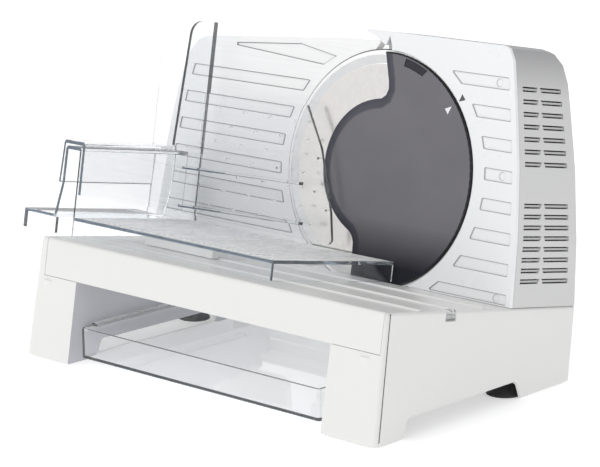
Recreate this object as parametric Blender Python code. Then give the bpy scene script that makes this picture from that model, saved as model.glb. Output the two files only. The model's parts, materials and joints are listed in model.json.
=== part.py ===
"""Electric food slicer with a clear sliding carriage, a food holder and a collecting tray.

All sizes are in millimetres and degrees and are turned into metres when a mesh is made.
The body stands on a portal-shaped base. Everything above the base leans back by TILT, so those
pieces are placed in the deck frame: X to the right along the blade, Y into the machine along the
deck and Z square to the deck, with its origin on the deck's front edge.
"""

from math import acos, asin, atan2, cos, degrees, pi, radians, sin, sqrt, tan

import bmesh
import bpy
from mathutils import Vector

MM = 0.001

# Whole machine
TILT = 9.58
DECK_HEIGHT = 88.65
DECK_DEPTH = 208.8
BASE_WIDTH = 337.6
BASE_FLARE = 3.2
FLOOR_GAP = 1.0
CLEARANCE = 0.3
WALL = 2.6

# Base with its two legs
LEG_WIDTH = 45.0
LEG_CORNER = 8.0
RIGHT_CORNER = 2.4
ARCH_HEIGHT = 13.5
ARCH_SLOPE = 4.5
TOE_LENGTH = 29.5
HEEL_LENGTH = 57.0
HEEL_SET_IN = 7.9
HEEL_RELIEF = 40.0
LEG_RIB_BOTTOM = 40.0
LEG_RIB_THICKNESS = 2.0
LEG_RIB_SPACING = 46.0
REAR_BEAM_HEIGHT = 27.0
REAR_BEAM_DEPTH = 14.0
SHELF_THICKNESS = 6.0
SHELF_SET_IN = 0.1
RAIL_HEIGHT = 23.5
RAIL_THICKNESS = 2.6
RAIL_REACH = 4.4

# Deck
DECK_THICKNESS = 3.0
DECK_END = 130.4
APRON_HEIGHT = 27.9
APRON_THICKNESS = 2.5
APRON_LEFT_SEAM = 10.8
APRON_RIGHT_SEAM = 2.3
EDGE_ROUND = 2.2
RAIL_POSITIONS = (36.5, 71.0, 105.5)
DECK_RAIL_WIDTH = 3.4
DECK_RAIL_HEIGHT = 1.2

# Blade and its drive
PLATE_Y = 131.8
BLADE_X = 37.0
BLADE_Z = 78.3
BLADE_RADIUS = 85.0
BLADE_THICKNESS = 1.4
BLADE_BEVEL = 5.0
BLADE_TEETH = 100
TOOTH_DEPTH = 0.9
BLADE_FRONT = 133.6
BLADE_BORE = 9.0
RECESS_RADIUS = 87.0
REBATE_WIDTH = 2.6
SHAFT_RADIUS = 5.0
RUNNING_GAP = 0.08
CARRIER_RADIUS = 31.0
CARRIER_THICKNESS = 3.6
GEAR_MODULE = 1.5
GEAR_TEETH = 56
GEAR_THICKNESS = 9.0
GEAR_Y = 170.0
WORM_PITCH_RADIUS = 5.5
WORM_LEFT = -8.6
WORM_RIGHT = 13.0
WORM_EAR = 2.0
THREAD_BACKLASH = 0.55
BUSH_WALL = 2.5
BUSH_LENGTH = 22.0

# Motor
MOTOR_RADIUS = 25.0
MOTOR_LENGTH = 58.0
MOTOR_START = 84.0
MOTOR_SHAFT_RADIUS = 3.0
FAN_RADIUS = 21.0
FAN_THICKNESS = 6.0
FAN_BLADES = 9

# Upright plates
PLATE_THICKNESS = 3.0
POCKET_PITCH = 21.18
POCKET_WIDTH = 8.94
POCKET_DEPTH = 0.8
POCKET_SLOPE = 0.55
POCKET_CIRCLE = 96.6
POCKET_MARGIN = 4.2
POCKET_COUNT = 8
PLATE_TOP = 100.0
DISC_RADIUS = 3.0
DISC_DEPTH = 0.5
DISC_FROM_EDGE = 13.2
STOP_ARC = 87.5
STOP_CORNER_ANGLE = 102.4
STOP_FRONT = 135.3
STOP_SHIFT = 1.3
STOP_THICKNESS = 2.6
STOP_FLANGE = 7.0
STOP_FLANGE_WALL = 1.8
STOP_TRAVEL = 15.0

# Housing behind the plate
HOUSING_BULGE = 49.5
BEARING_PLATE_Y = 140.5
BEARING_PLATE_THICKNESS = 3.0
VENT_HEIGHT = 3.4
UPPER_VENTS = 7
UPPER_VENT_TOP = 150.0
UPPER_VENT_PITCH = 8.5
LOWER_VENTS = 8
LOWER_VENT_TOP = 70.5
LOWER_VENT_PITCH = 7.45
VENT_START = 141.0
VENT_MARGIN = 9.5
VENT_BRIDGE = 2.4

# Blade cover
COVER_RADIUS = 85.6
COVER_FRONT = 130.9
COVER_THICKNESS = 2.3
COVER_BEVEL = 8.0
SLOT_FLOOR = 0.9
COVER_RIM_BEVEL = 1.0

# Thickness control
KNOB_FROM_SIDE = 46.8
KNOB_Z = 42.0
KNOB_RADIUS = 18.0
KNOB_LENGTH = 12.0
KNOB_GRIP = 6.0
KNOB_FLUTES = 18
ROD_RADIUS = 3.0
ROD_SPREAD = 29.0
ROD_BEYOND = 8.0
BRACKET_THICKNESS = 6.5
BRACKET_FOOT = 5.0
SLIDER_THICKNESS = 9.0
SPINDLE_RADIUS = 4.0
SPINDLE_GRIP = 5.0
NUT_WALL = 3.0

# Carriage
CARRIAGE_FRONT = 15.0
CARRIAGE_BACK = 129.6
CARRIAGE_LEFT = -203.5
CARRIAGE_RIGHT_FRONT = 52.0
CARRIAGE_RIGHT_BACK = 64.5
TABLE_TOP = 15.8
SKIRT_BOTTOM = 1.6
SHEET = 2.5
THIN_SHEET = 1.5
WALL_FOOT_X = -170.7
WALL_KNEE_X = -165.5
WALL_KNEE_Z = 40.0
WALL_TOP_X = -165.0
WALL_TOP = 67.8
WALL_INNER_X = -148.5
GUARD_LEFT = -188.0
GUARD_RIGHT = -133.8
GUARD_TOP = 169.0
GUARD_ROUND = 15.0
GUARD_BACK = 129.0
WING_FRONT = 96.0
WING_LEAN = 7.0
WING_BOTTOM = 73.6
GUIDE_LEFT = -120.0
GUIDE_LENGTH = 70.0
GUIDE_WIDTH = 16.0
TABLE_RIBS = 33
TABLE_RIB_WIDTH = 1.6
TABLE_RIB_HEIGHT = 0.7

# Food holder
HOLDER_FRONT = 14.7
HOLDER_TOP = 71.9
SKIRT_END = 107.0
SKIRT_LOW = 40.0
SKIRT_LOW_X = -169.0
SKIRT_TOP_X = -167.2
SKIRT_THICKNESS = 1.8
PANEL_X = -144.5
PANEL_LOW_FRONT = 33.0
PRESS_BACK = 125.2
PRESS_TOP = 116.5
PRESS_LOW = 19.5
PRESS_LEFT = -133.1
SPIKE_LENGTH = 3.8
SPIKE_RADIUS = 1.1
SPIKE_COLUMN = 26.3
SPIKE_ROW = 12.2

# Collecting tray
TRAY_FROM_TOE = 6.8
TRAY_FROM_HEEL = 22.0
TRAY_SIDE_GAP = 7.0
TRAY_BOTTOM = 6.2
TRAY_WALL = 2.0
RIM_THICKNESS = 2.2
RIM_ON_RAIL = 1.8

# Feet, buttons and cable inlet
FOOT_RADIUS = 12.8
FOOT_FACE = 4.0
FOOT_HEIGHT = 12.0
FOOT_STEM = 3.5
FOOT_STEM_LENGTH = 8.0
BOSS_RADIUS = 7.5
FOOT_FROM_SIDE = 14.8
FOOT_FROM_TOE = 16.6
FOOT_FROM_HEEL = 53.3
BUTTON_X = 122.0
BUTTON_Z = 138.0
BUTTON_WIDTH = 24.0
BUTTON_HEIGHT = 17.0
BUTTON_PROUD = 3.2
LOCK_X = 95.0
LOCK_RADIUS = 6.0
SWITCH_DEPTH = 17.0
GLAND_FROM_SIDE = 12.8
GLAND_Z = 26.0
GLAND_RADIUS = 7.0
GLAND_BORE = 3.6
CATCH_Y = 66.5
CATCH_WIDTH = 10.5

# The deck frame's slope
SIN_TILT = sin(radians(TILT))
COS_TILT = cos(radians(TILT))
HALF_WIDTH = BASE_WIDTH / 2
GEAR_PITCH_RADIUS = GEAR_MODULE * GEAR_TEETH / 2
WORM_Z = BLADE_Z - GEAR_PITCH_RADIUS - WORM_PITCH_RADIUS
LEG_INNER_X = HALF_WIDTH - LEG_WIDTH
APRON_LEFT = APRON_LEFT_SEAM - HALF_WIDTH
APRON_RIGHT = HALF_WIDTH - APRON_RIGHT_SEAM
# The legs' rear faces lean back towards the deck's rear edge
DECK_BACK = (DECK_DEPTH * COS_TILT, DECK_HEIGHT - DECK_DEPTH * SIN_TILT)
HEEL_END = DECK_BACK[0] - HEEL_SET_IN
HEEL_START = HEEL_END - HEEL_LENGTH
HEEL_LEAN = HEEL_SET_IN / (DECK_BACK[1] - FLOOR_GAP)
TOE_FRONT = -(DECK_HEIGHT - FLOOR_GAP) * SIN_TILT / COS_TILT
LEG_RIB_START = (TOE_FRONT + TOE_LENGTH + HEEL_START - LEG_RIB_SPACING) / 2
LEG_RIB_POSITIONS = (LEG_RIB_START, LEG_RIB_START + LEG_RIB_SPACING)
FOOT_X = HALF_WIDTH - FOOT_FROM_SIDE
FRONT_FOOT_Y = TOE_FRONT + FOOT_FROM_TOE
REAR_FOOT_Y = HEEL_END - FOOT_FROM_HEEL
TRAY_HALF_WIDTH = LEG_INNER_X - TRAY_SIDE_GAP
TRAY_FRONT = TOE_FRONT + TRAY_FROM_TOE
TRAY_BACK = HEEL_END - TRAY_FROM_HEEL
TRAY_TOP = RAIL_HEIGHT + RAIL_THICKNESS + CLEARANCE + RIM_THICKNESS
# The stop plate's slider, its threaded sleeve and the bracket that they move towards
KNOB_X = KNOB_FROM_SIDE - HALF_WIDTH
SLIDER_START = STOP_FRONT + STOP_THICKNESS - 0.5
SLIDER_BACK = SLIDER_START + SLIDER_THICKNESS
NUT_BOTTOM = STOP_FRONT + STOP_THICKNESS + 1.2
NUT_END = NUT_BOTTOM + STOP_TRAVEL + SPINDLE_GRIP
BRACKET_Y = NUT_END + STOP_TRAVEL + 2.0
KNOB_START = BRACKET_Y + BRACKET_THICKNESS + CLEARANCE

# Outline of the upright plate's right edge about the blade's centre, top to bottom
PLATE_RIGHT_EDGE = (
    (100.8, PLATE_TOP),
    (104.6, 98.5),
    (109.2, 90.6),
    (115.0, 63.7),
    (123.8, 16.5),
    (129.3, -31.3),
    (HALF_WIDTH - BLADE_X, CLEARANCE - BLADE_Z),
)
# Top edge of the stop plate about the blade's centre, right to left
STOP_TOP_EDGE = ((-14.4, 92.0), (-18.9, 92.6), (-47.4, 91.4), (-136.9, 84.0))
# Left edge of the stop plate about the blade's centre, top to bottom
STOP_LEFT_EDGE = (
    (-186.1, 80.0),
    (-197.3, 75.5),
    (-202.8, 68.8),
    (-206.1, 62.2),
    (-212.7, 34.1),
    (-218.3, -6.1),
    (-223.9, -65.4),
    (-224.6, -76.0),
)
# Back of the housing in the deck frame as depth and height, bottom to top
HOUSING_BACK = (
    (208.5, CLEARANCE),
    (205.0, 40.5),
    (201.5, 81.0),
    (199.0, 114.0),
    (195.0, 156.0),
    (190.5, 168.0),
    (184.0, 175.5),
    (175.0, BLADE_Z + PLATE_TOP),
)


# Materials

COLOURS = {
    "white_plastic": ((0.87, 0.87, 0.855), 0.34, 0.0, 1.0),
    "deck_plastic": ((0.84, 0.84, 0.825), 0.36, 0.0, 1.0),
    "plate_plastic": ((0.86, 0.88, 0.90), 0.32, 0.0, 1.0),
    "housing_plastic": ((0.60, 0.60, 0.59), 0.40, 0.0, 1.0),
    "stop_metal": ((0.70, 0.70, 0.70), 0.38, 0.7, 1.0),
    "cover_plastic": ((0.13, 0.12, 0.14), 0.38, 0.2, 1.0),
    "blade_steel": ((0.78, 0.77, 0.74), 0.16, 1.0, 1.0),
    "shaft_steel": ((0.62, 0.63, 0.65), 0.28, 1.0, 1.0),
    "clear_plastic": ((0.86, 0.90, 0.95), 0.08, 0.0, 0.3),
    "black_rubber": ((0.02, 0.02, 0.02), 0.75, 0.0, 1.0),
    "black_plastic": ((0.04, 0.04, 0.045), 0.45, 0.0, 1.0),
    "nylon": ((0.88, 0.86, 0.78), 0.5, 0.0, 1.0),
    "bronze": ((0.55, 0.36, 0.15), 0.35, 1.0, 1.0),
    "zinc_steel": ((0.55, 0.55, 0.56), 0.4, 1.0, 1.0),
}


def material(name):
    found = bpy.data.materials.get(name)
    if found:
        return found
    colour, roughness, metallic, alpha = COLOURS[name]
    made = bpy.data.materials.new(name)
    made.use_nodes = True
    shader = made.node_tree.nodes["Principled BSDF"]
    shader.inputs["Base Color"].default_value = (*colour, 1.0)
    shader.inputs["Roughness"].default_value = roughness
    shader.inputs["Metallic"].default_value = metallic
    shader.inputs["Alpha"].default_value = alpha
    made.diffuse_color = (*colour, alpha)
    return made


# Outlines

def arc(centre, radius, start, end, steps):
    """Points along an arc, angles in degrees, both ends included."""
    points = []
    for step in range(steps + 1):
        angle = radians(start + (end - start) * step / steps)
        points.append((centre[0] + radius * cos(angle), centre[1] + radius * sin(angle)))
    return points


def circle(centre, radius, steps):
    return arc(centre, radius, 0, 360, steps)[:-1]


def rounded(corners, radii, steps=4):
    """A closed outline whose corners are rounded by their own radius."""
    outline = []
    count = len(corners)
    for index, corner in enumerate(corners):
        radius = radii if isinstance(radii, (int, float)) else radii[index]
        here = Vector(corner)
        if radius <= 0:
            outline.append(tuple(here))
            continue
        before = (Vector(corners[index - 1]) - here).normalized()
        after = (Vector(corners[(index + 1) % count]) - here).normalized()
        half = acos(max(-1.0, min(1.0, before.dot(after)))) / 2
        middle = here + (before + after).normalized() * radius / sin(half)
        first = here + before * radius / tan(half) - middle
        last = here + after * radius / tan(half) - middle
        turn = atan2(first.x * last.y - first.y * last.x, first.dot(last))
        start = atan2(first.y, first.x)
        for step in range(steps + 1):
            angle = start + turn * step / steps
            outline.append((middle.x + radius * cos(angle), middle.y + radius * sin(angle)))
    return outline


def rectangle(low, high, radius=0.0, steps=4):
    corners = [(low[0], low[1]), (high[0], low[1]), (high[0], high[1]), (low[0], high[1])]
    return rounded(corners, radius, steps) if radius else corners


def signed_area(outline):
    total = 0.0
    for index, point in enumerate(outline):
        following = outline[(index + 1) % len(outline)]
        total += point[0] * following[1] - following[0] * point[1]
    return total / 2


def inset(outline, distances):
    """The outline moved inwards, by one distance or by one for each side that starts at a point."""
    count = len(outline)
    if isinstance(distances, (int, float)):
        distances = [distances] * count
    facing = 1.0 if signed_area(outline) > 0 else -1.0
    lines = []
    for index, point in enumerate(outline):
        here = Vector(point)
        along = (Vector(outline[(index + 1) % count]) - here).normalized()
        inward = Vector((-along.y, along.x)) * facing
        lines.append((here + inward * distances[index], along))
    moved = []
    for index in range(count):
        start, first = lines[index - 1]
        other, second = lines[index]
        cross = first.x * second.y - first.y * second.x
        if abs(cross) < 1e-6:
            moved.append(tuple(other))
            continue
        gap = other - start
        reach = (gap.x * second.y - gap.y * second.x) / cross
        moved.append(tuple(start + first * reach))
    return moved


def shifted(outline, offset):
    return [(x + offset[0], z + offset[1]) for x, z in outline]


def at_blade(outline):
    """An outline given about the blade's centre, in the deck frame."""
    return shifted(outline, (BLADE_X, BLADE_Z))


def at_stop(outline):
    """The same for the stop plate, whose arc stands a little to the right of the blade's rim."""
    return shifted(outline, (BLADE_X + STOP_SHIFT, BLADE_Z))


def edge_at(edge, height):
    """Where a polyline of (across, height) points lies at a height."""
    ordered = sorted(edge, key=lambda point: point[1])
    for low, high in zip(ordered, ordered[1:]):
        if height <= high[1]:
            share = (height - low[1]) / (high[1] - low[1])
            return low[0] + (high[0] - low[0]) * share
    return ordered[-1][0]


def housing_back_at(height):
    return edge_at(HOUSING_BACK, height)


# Meshes

PLANES = {
    "xy": lambda a, b, c: (a * MM, b * MM, c * MM),
    "xz": lambda a, b, c: (a * MM, c * MM, b * MM),
    "yz": lambda a, b, c: (c * MM, a * MM, b * MM),
}


def add_rings(bm, rings):
    """Joins rings of equal length into one closed shape, capped at both ends."""
    loops = [[bm.verts.new(point) for point in ring] for ring in rings]
    count = len(loops[0])
    bm.faces.new(loops[0])
    bm.faces.new(list(reversed(loops[-1])))
    for low, high in zip(loops, loops[1:]):
        for index in range(count):
            following = (index + 1) % count
            bm.faces.new((low[index], high[index], high[following], low[following]))


def add_prism(bm, outline, low, high, plane="xz"):
    place = PLANES[plane]
    add_rings(bm, [[place(a, b, level) for a, b in outline] for level in (low, high)])


def add_loft(bm, layers, plane="xz"):
    """Layers are (outline, level) pairs with as many points each."""
    place = PLANES[plane]
    add_rings(bm, [[place(a, b, level) for a, b in outline] for outline, level in layers])


def add_box(bm, low, high):
    add_prism(bm, rectangle(low[:2], high[:2]), low[2], high[2], "xy")


def add_turned(bm, profile, steps=32, centre=(0.0, 0.0, 0.0)):
    """Turns a closed profile of (radius, height) points round the local Z axis."""
    columns = []
    for radius, height in profile:
        place = [centre[0] * MM, centre[1] * MM, (centre[2] + height) * MM]
        if radius <= 0:
            columns.append([bm.verts.new(place)])
            continue
        ring = []
        for step in range(steps):
            angle = 2 * pi * step / steps
            across = (radius * cos(angle) * MM, radius * sin(angle) * MM, 0.0)
            ring.append(bm.verts.new([a + b for a, b in zip(place, across)]))
        columns.append(ring)
    for index, low in enumerate(columns):
        high = columns[(index + 1) % len(columns)]
        if len(low) == 1 and len(high) == 1:
            continue
        for step in range(steps):
            following = (step + 1) % steps
            corners = [low[step % len(low)], high[step % len(high)]]
            corners += [high[following % len(high)], low[following % len(low)]]
            unique = []
            for corner in corners:
                if corner not in unique:
                    unique.append(corner)
            bm.faces.new(unique)


# Objects

for leftover in list(bpy.data.objects):
    bpy.data.objects.remove(leftover, do_unlink=True)


def empty(name, location, parent=None, rotation=(0.0, 0.0, 0.0)):
    made = bpy.data.objects.new(name, None)
    made.location = [value * MM for value in location]
    made.rotation_euler = rotation
    made.parent = parent
    bpy.context.scene.collection.objects.link(made)
    return made


BUTTON_BACK = housing_back_at(BUTTON_Z) + BUTTON_PROUD
REAR_Y = BUTTON_BACK * COS_TILT + (BUTTON_Z + BUTTON_HEIGHT / 2) * SIN_TILT
FLARE_AT_FLOOR = BASE_FLARE * (DECK_HEIGHT - FLOOR_GAP) / DECK_HEIGHT
CENTRE_X = (CARRIAGE_LEFT + HALF_WIDTH + FLARE_AT_FLOOR) / 2
CENTRE_Y = (TOE_FRONT + REAR_Y) / 2

FLOOR = empty("floor_frame", (-CENTRE_X, -CENTRE_Y, 0))
DECK = empty("deck_frame", (0, 0, DECK_HEIGHT), FLOOR, (-radians(TILT), 0, 0))
# Turns a piece's own Z axis to the deck frame's Y axis
FACING_BACK = (-pi / 2, 0, 0)
# Turns a piece's own Z axis to X
FACING_RIGHT = (0, pi / 2, 0)
GLAND_X = HALF_WIDTH - GLAND_FROM_SIDE
GLAND_Y = HEEL_END + (GLAND_Z - FLOOR_GAP) * HEEL_LEAN
FACING_HEEL = (-pi / 2 - atan2(HEEL_LEAN, 1), 0, 0)


def solid(name, bm, colour, parent=DECK, origin=(0, 0, 0), rotation=(0, 0, 0), smooth=35):
    """One named piece. Its mesh is given about its own origin."""
    bmesh.ops.recalc_face_normals(bm, faces=bm.faces)
    mesh = bpy.data.meshes.new(name)
    bm.to_mesh(mesh)
    bm.free()
    mesh.materials.append(material(colour))
    mesh.shade_smooth()
    mesh.set_sharp_from_angle(angle=radians(smooth))
    made = bpy.data.objects.new(name, mesh)
    made.parent = parent
    made.location = [value * MM for value in origin]
    made.rotation_euler = rotation
    bpy.context.scene.collection.objects.link(made)
    return made


def helper(name, bm, parent=DECK, origin=(0, 0, 0), rotation=(0, 0, 0)):
    """A hidden shape that a Boolean of another piece uses."""
    made = solid(name, bm, "black_plastic", parent, origin, rotation)
    made.hide_render = True
    made.display_type = "WIRE"
    return made


def combine(target, tool, operation):
    step = target.modifiers.new(f"{operation.lower()}_{tool.name}", "BOOLEAN")
    step.operation = operation
    step.object = tool
    step.solver = "EXACT"


def cut(target, tool):
    combine(target, tool, "DIFFERENCE")


def join(target, tool):
    combine(target, tool, "UNION")


def keep_common(target, tool):
    combine(target, tool, "INTERSECT")


def y_on_front(z):
    """Depth of the leaning front face at a height above the floor."""
    return (z - DECK_HEIGHT) * tan(radians(TILT))


def leg_outline(drawn=0.0, front_drawn=0.0):
    """Side view of a leg as (depth, height above the floor), drawn in towards its outer face."""
    toe_back = TOE_FRONT + TOE_LENGTH
    corners = [
        (TOE_FRONT, FLOOR_GAP),
        (toe_back, FLOOR_GAP),
        (toe_back + ARCH_SLOPE, ARCH_HEIGHT),
        (HEEL_START - ARCH_SLOPE, ARCH_HEIGHT),
        (HEEL_START, FLOOR_GAP),
        (HEEL_END, FLOOR_GAP),
        DECK_BACK,
        (0.0, DECK_HEIGHT),
    ]
    slopes = [drawn * 0.15] * 5 + [drawn * 0.6, drawn * 0.25, front_drawn]
    return rounded(inset(corners, slopes), (0.6, 1, 4, 4, 1, 1, 1, EDGE_ROUND), 3)


# Base

def add_leg(bm, side, corner):
    """One leg as a block, wider at the floor, its outer edges rounded. Side is -1 for left and 1 for right."""
    rings = []
    steps = 4
    outline = leg_outline()
    rings.append([(side * LEG_INNER_X * MM, y * MM, z * MM) for y, z in outline])
    for step in range(steps + 1):
        angle = pi / 2 * step / steps
        x = HALF_WIDTH - corner * (1 - sin(angle))
        drawn = 1 - cos(angle)
        ring = []
        for y, z in leg_outline(drawn * LEG_CORNER, drawn * corner):
            flare = BASE_FLARE * (DECK_HEIGHT - z) / DECK_HEIGHT
            ring.append((side * (x + flare) * MM, y * MM, z * MM))
        rings.append(ring)
    add_rings(bm, rings)


def roof_z(y):
    """Underside of a leg's top at a depth in the machine's floor frame."""
    return DECK_HEIGHT - y * tan(radians(TILT)) - (DECK_THICKNESS + CLEARANCE + WALL) / COS_TILT


def apron_low_z():
    return DECK_HEIGHT - APRON_HEIGHT * COS_TILT - CLEARANCE


def leg_cavity_outline(front_drawn):
    """Side view of a leg's hollow, open below."""
    below = -5.0
    apron_low = apron_low_z()
    behind_apron = APRON_THICKNESS + CLEARANCE + WALL
    skin = WALL / COS_TILT
    rear_top = DECK_BACK[0] - WALL - 1.2
    return [
        (y_on_front(below) + skin + front_drawn, below),
        (HEEL_END - WALL + (below - FLOOR_GAP) * HEEL_LEAN, below),
        (rear_top, roof_z(rear_top)),
        (behind_apron + front_drawn, roof_z(behind_apron + front_drawn)),
        (behind_apron + front_drawn, apron_low - 1),
        (y_on_front(apron_low - 6) + skin + front_drawn, apron_low - 6),
    ]


def add_leg_cavity(bm, side):
    rings = []
    inner = LEG_INNER_X + WALL
    outer = HALF_WIDTH - WALL
    drawn = LEG_CORNER / 2
    for x, front, flared in ((inner, 0, 0), (outer - drawn, 0, 1), (outer, drawn, 1)):
        ring = []
        for y, z in leg_cavity_outline(front):
            flare = flared * BASE_FLARE * (DECK_HEIGHT - z) / DECK_HEIGHT
            ring.append((side * (x + flare) * MM, y * MM, z * MM))
        rings.append(ring)
    add_rings(bm, rings)


def foot_places():
    for side, across in ((-1, "left"), (1, "right")):
        for y, along in ((FRONT_FOOT_Y, "front"), (REAR_FOOT_Y, "rear")):
            yield f"{along}_{across}_foot", side * FOOT_X, y


def make_base():
    bm = bmesh.new()
    add_leg(bm, -1, LEG_CORNER)
    base = solid("base_housing", bm, "white_plastic", FLOOR)
    bm = bmesh.new()
    add_leg(bm, 1, RIGHT_CORNER)
    join(base, helper("right_leg_block", bm, FLOOR))

    bm = bmesh.new()
    reach = LEG_INNER_X + WALL / 2
    shelf_left = BLADE_X - HOUSING_BULGE - 8
    shelf = [
        (-reach, DECK_DEPTH - REAR_BEAM_DEPTH),
        (shelf_left, DECK_DEPTH - REAR_BEAM_DEPTH),
        (shelf_left, BEARING_PLATE_Y - 2),
        (reach, BEARING_PLATE_Y - 2),
        (reach, DECK_DEPTH),
        (-reach, DECK_DEPTH),
    ]
    add_prism(bm, shelf, -SHELF_THICKNESS, -SHELF_SET_IN, "xy")
    join(base, helper("housing_shelf", bm))
    bm = bmesh.new()
    back = DECK_DEPTH - SHELF_SET_IN
    add_box(bm, (-reach, back - WALL, -REAR_BEAM_HEIGHT), (reach, back, -1))
    join(base, helper("rear_beam", bm))

    bm = bmesh.new()
    top = DECK_THICKNESS + CLEARANCE
    front = APRON_THICKNESS + CLEARANCE
    seat = [
        (-6, 6),
        (-6, -APRON_HEIGHT - CLEARANCE),
        (front, -APRON_HEIGHT - CLEARANCE),
        (front, -top),
        (DECK_END + CLEARANCE, -top),
        (DECK_END + CLEARANCE, 6),
    ]
    add_prism(bm, seat, APRON_LEFT - CLEARANCE, APRON_RIGHT + CLEARANCE, "yz")
    cut(base, helper("deck_seat", bm))

    for side, name in ((-1, "left"), (1, "right")):
        bm = bmesh.new()
        add_leg_cavity(bm, side)
        cut(base, helper(f"{name}_leg_hollow", bm, FLOOR))
        bm = bmesh.new()
        span = sorted((side * (LEG_INNER_X - 4), side * (LEG_INNER_X + WALL + 1)))
        relief_start = HEEL_END - HEEL_RELIEF
        add_box(bm, (span[0], relief_start, -5), (span[1], HEEL_END - WALL - 4, RAIL_HEIGHT + 1))
        cut(base, helper(f"{name}_heel_relief", bm, FLOOR))
        bm = bmesh.new()
        span = sorted((side * (LEG_INNER_X + 1), side * (HALF_WIDTH - 0.4)))
        for y in LEG_RIB_POSITIONS:
            half = LEG_RIB_THICKNESS / 2
            add_box(bm, (span[0], y - half, LEG_RIB_BOTTOM), (span[1], y + half, roof_z(y) + 1))
        join(base, helper(f"{name}_leg_ribs", bm, FLOOR))
        bm = bmesh.new()
        span = sorted((side * (LEG_INNER_X - RAIL_REACH), side * (LEG_INNER_X + 1)))
        low = (span[0], TOE_FRONT + FOOT_FROM_TOE, RAIL_HEIGHT)
        add_box(bm, low, (span[1], relief_start - 4, RAIL_HEIGHT + RAIL_THICKNESS))
        join(base, helper(f"{name}_tray_rail", bm, FLOOR))

    bosses = bmesh.new()
    sockets = bmesh.new()
    for name, x, y in foot_places():
        low = FOOT_HEIGHT + CLEARANCE
        high = roof_z(y) + 1 if y > BOSS_RADIUS * 2 else apron_low_z() - 3
        boss = [(0, low), (0, high), (BOSS_RADIUS + 1, high), (BOSS_RADIUS, low)]
        add_turned(bosses, boss, 16, (x, y, 0))
        hole = FOOT_STEM + CLEARANCE
        deep = low + FOOT_STEM_LENGTH
        add_turned(sockets, [(0, low - 3), (0, deep), (hole, deep), (hole, low - 3)], 12, (x, y, 0))
    join(base, helper("foot_bosses", bosses, FLOOR))
    cut(base, helper("foot_sockets", sockets, FLOOR))

    bm = bmesh.new()
    hub = GLAND_RADIUS - 1.5 + CLEARANCE
    add_turned(bm, [(0, -12), (0, 20), (hub, 20), (hub, -12)], 20)
    cut(base, helper("cable_hole", bm, FLOOR, (GLAND_X, GLAND_Y, GLAND_Z), FACING_HEEL))
    bm = bmesh.new()
    add_catch_space(bm)
    cut(base, helper("catch_notch", bm))


def add_catch_space(bm):
    """Room for the catch in the deck's right edge."""
    half = CATCH_WIDTH / 2 + CLEARANCE
    low = (HALF_WIDTH - 5 - CLEARANCE, CATCH_Y - half, -7.2)
    add_box(bm, low, (HALF_WIDTH + 8, CATCH_Y + half, 4))


def make_feet():
    """Suction feet: a flat rim with a shallow cup inside it, and a stem that plugs into the leg."""
    height = FOOT_HEIGHT
    profile = [
        (0, height + FOOT_STEM_LENGTH - 1),
        (FOOT_STEM, height + FOOT_STEM_LENGTH - 1),
        (FOOT_STEM, height),
        (BOSS_RADIUS - 0.5, height),
        (BOSS_RADIUS - 1.5, height * 0.6),
        (FOOT_RADIUS - 3.2, height * 0.42),
        (FOOT_RADIUS, 1.2),
        (FOOT_RADIUS, 0),
        (FOOT_RADIUS - FOOT_FACE, 0),
        (FOOT_RADIUS - FOOT_FACE - 3, 2.2),
        (0, 3.2),
    ]
    for name, x, y in foot_places():
        bm = bmesh.new()
        add_turned(bm, profile, 18)
        solid(name, bm, "black_rubber", FLOOR, (x, y, 0))


def make_deck():
    profile = [(0, -APRON_HEIGHT), (APRON_THICKNESS, -APRON_HEIGHT)]
    profile += [(APRON_THICKNESS, -DECK_THICKNESS), (DECK_END, -DECK_THICKNESS), (DECK_END, 0)]
    for y in reversed(RAIL_POSITIONS):
        half = DECK_RAIL_WIDTH / 2
        profile += [(y + half, 0), (y + half - 0.8, DECK_RAIL_HEIGHT)]
        profile += [(y - half + 0.8, DECK_RAIL_HEIGHT), (y - half, 0)]
    profile += arc((EDGE_ROUND, -EDGE_ROUND), EDGE_ROUND, 90, 180, 4)
    bm = bmesh.new()
    add_prism(bm, profile, APRON_LEFT, APRON_RIGHT, "yz")
    deck = solid("deck_cover", bm, "deck_plastic", smooth=25)
    bm = bmesh.new()
    add_catch_space(bm)
    cut(deck, helper("deck_catch_notch", bm))


def make_catch():
    """Small clear catch at the end of the deck that stops the carriage."""
    half = CATCH_WIDTH / 2
    left = HALF_WIDTH - 5
    profile = [
        (left, -6.9),
        (HALF_WIDTH + 0.4, -6.9),
        (HALF_WIDTH + 0.4, -0.6),
        (HALF_WIDTH - 1.0, 0.9),
        (HALF_WIDTH - 2.0, 0.9),
        (HALF_WIDTH - 2.0, -3.6),
        (left, -3.6),
    ]
    bm = bmesh.new()
    add_prism(bm, profile, CATCH_Y - half, CATCH_Y + half, "xz")
    solid("carriage_catch", bm, "clear_plastic")


# Upright plates

def right_plate_outline():
    """Ribbed plate to the right of the blade, about the blade's centre, with its pointed top left end."""
    tip = [
        (-25.0, PLATE_TOP),
        (-23.8, PLATE_TOP - 2.1),
        (-17.0, PLATE_TOP - 3.8),
        (-5.5, PLATE_TOP - 10.2),
        (-2.4, PLATE_TOP - 3.2),
        (0.4, PLATE_TOP - 10.2),
    ]
    bottom = PLATE_RIGHT_EDGE[-1][1]
    low_angle = degrees(asin(bottom / RECESS_RADIUS))
    round_edge = arc((0, 0), RECESS_RADIUS, 89.6, low_angle, 36)
    return tip + round_edge + list(reversed(PLATE_RIGHT_EDGE))


def pocket_layers(outline, front):
    """Layers of the cutter for one shallow pocket with sloping sides."""
    return [
        (outline, front - 1.0),
        (outline, front),
        (inset(outline, POCKET_SLOPE), front + POCKET_DEPTH),
    ]


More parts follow.
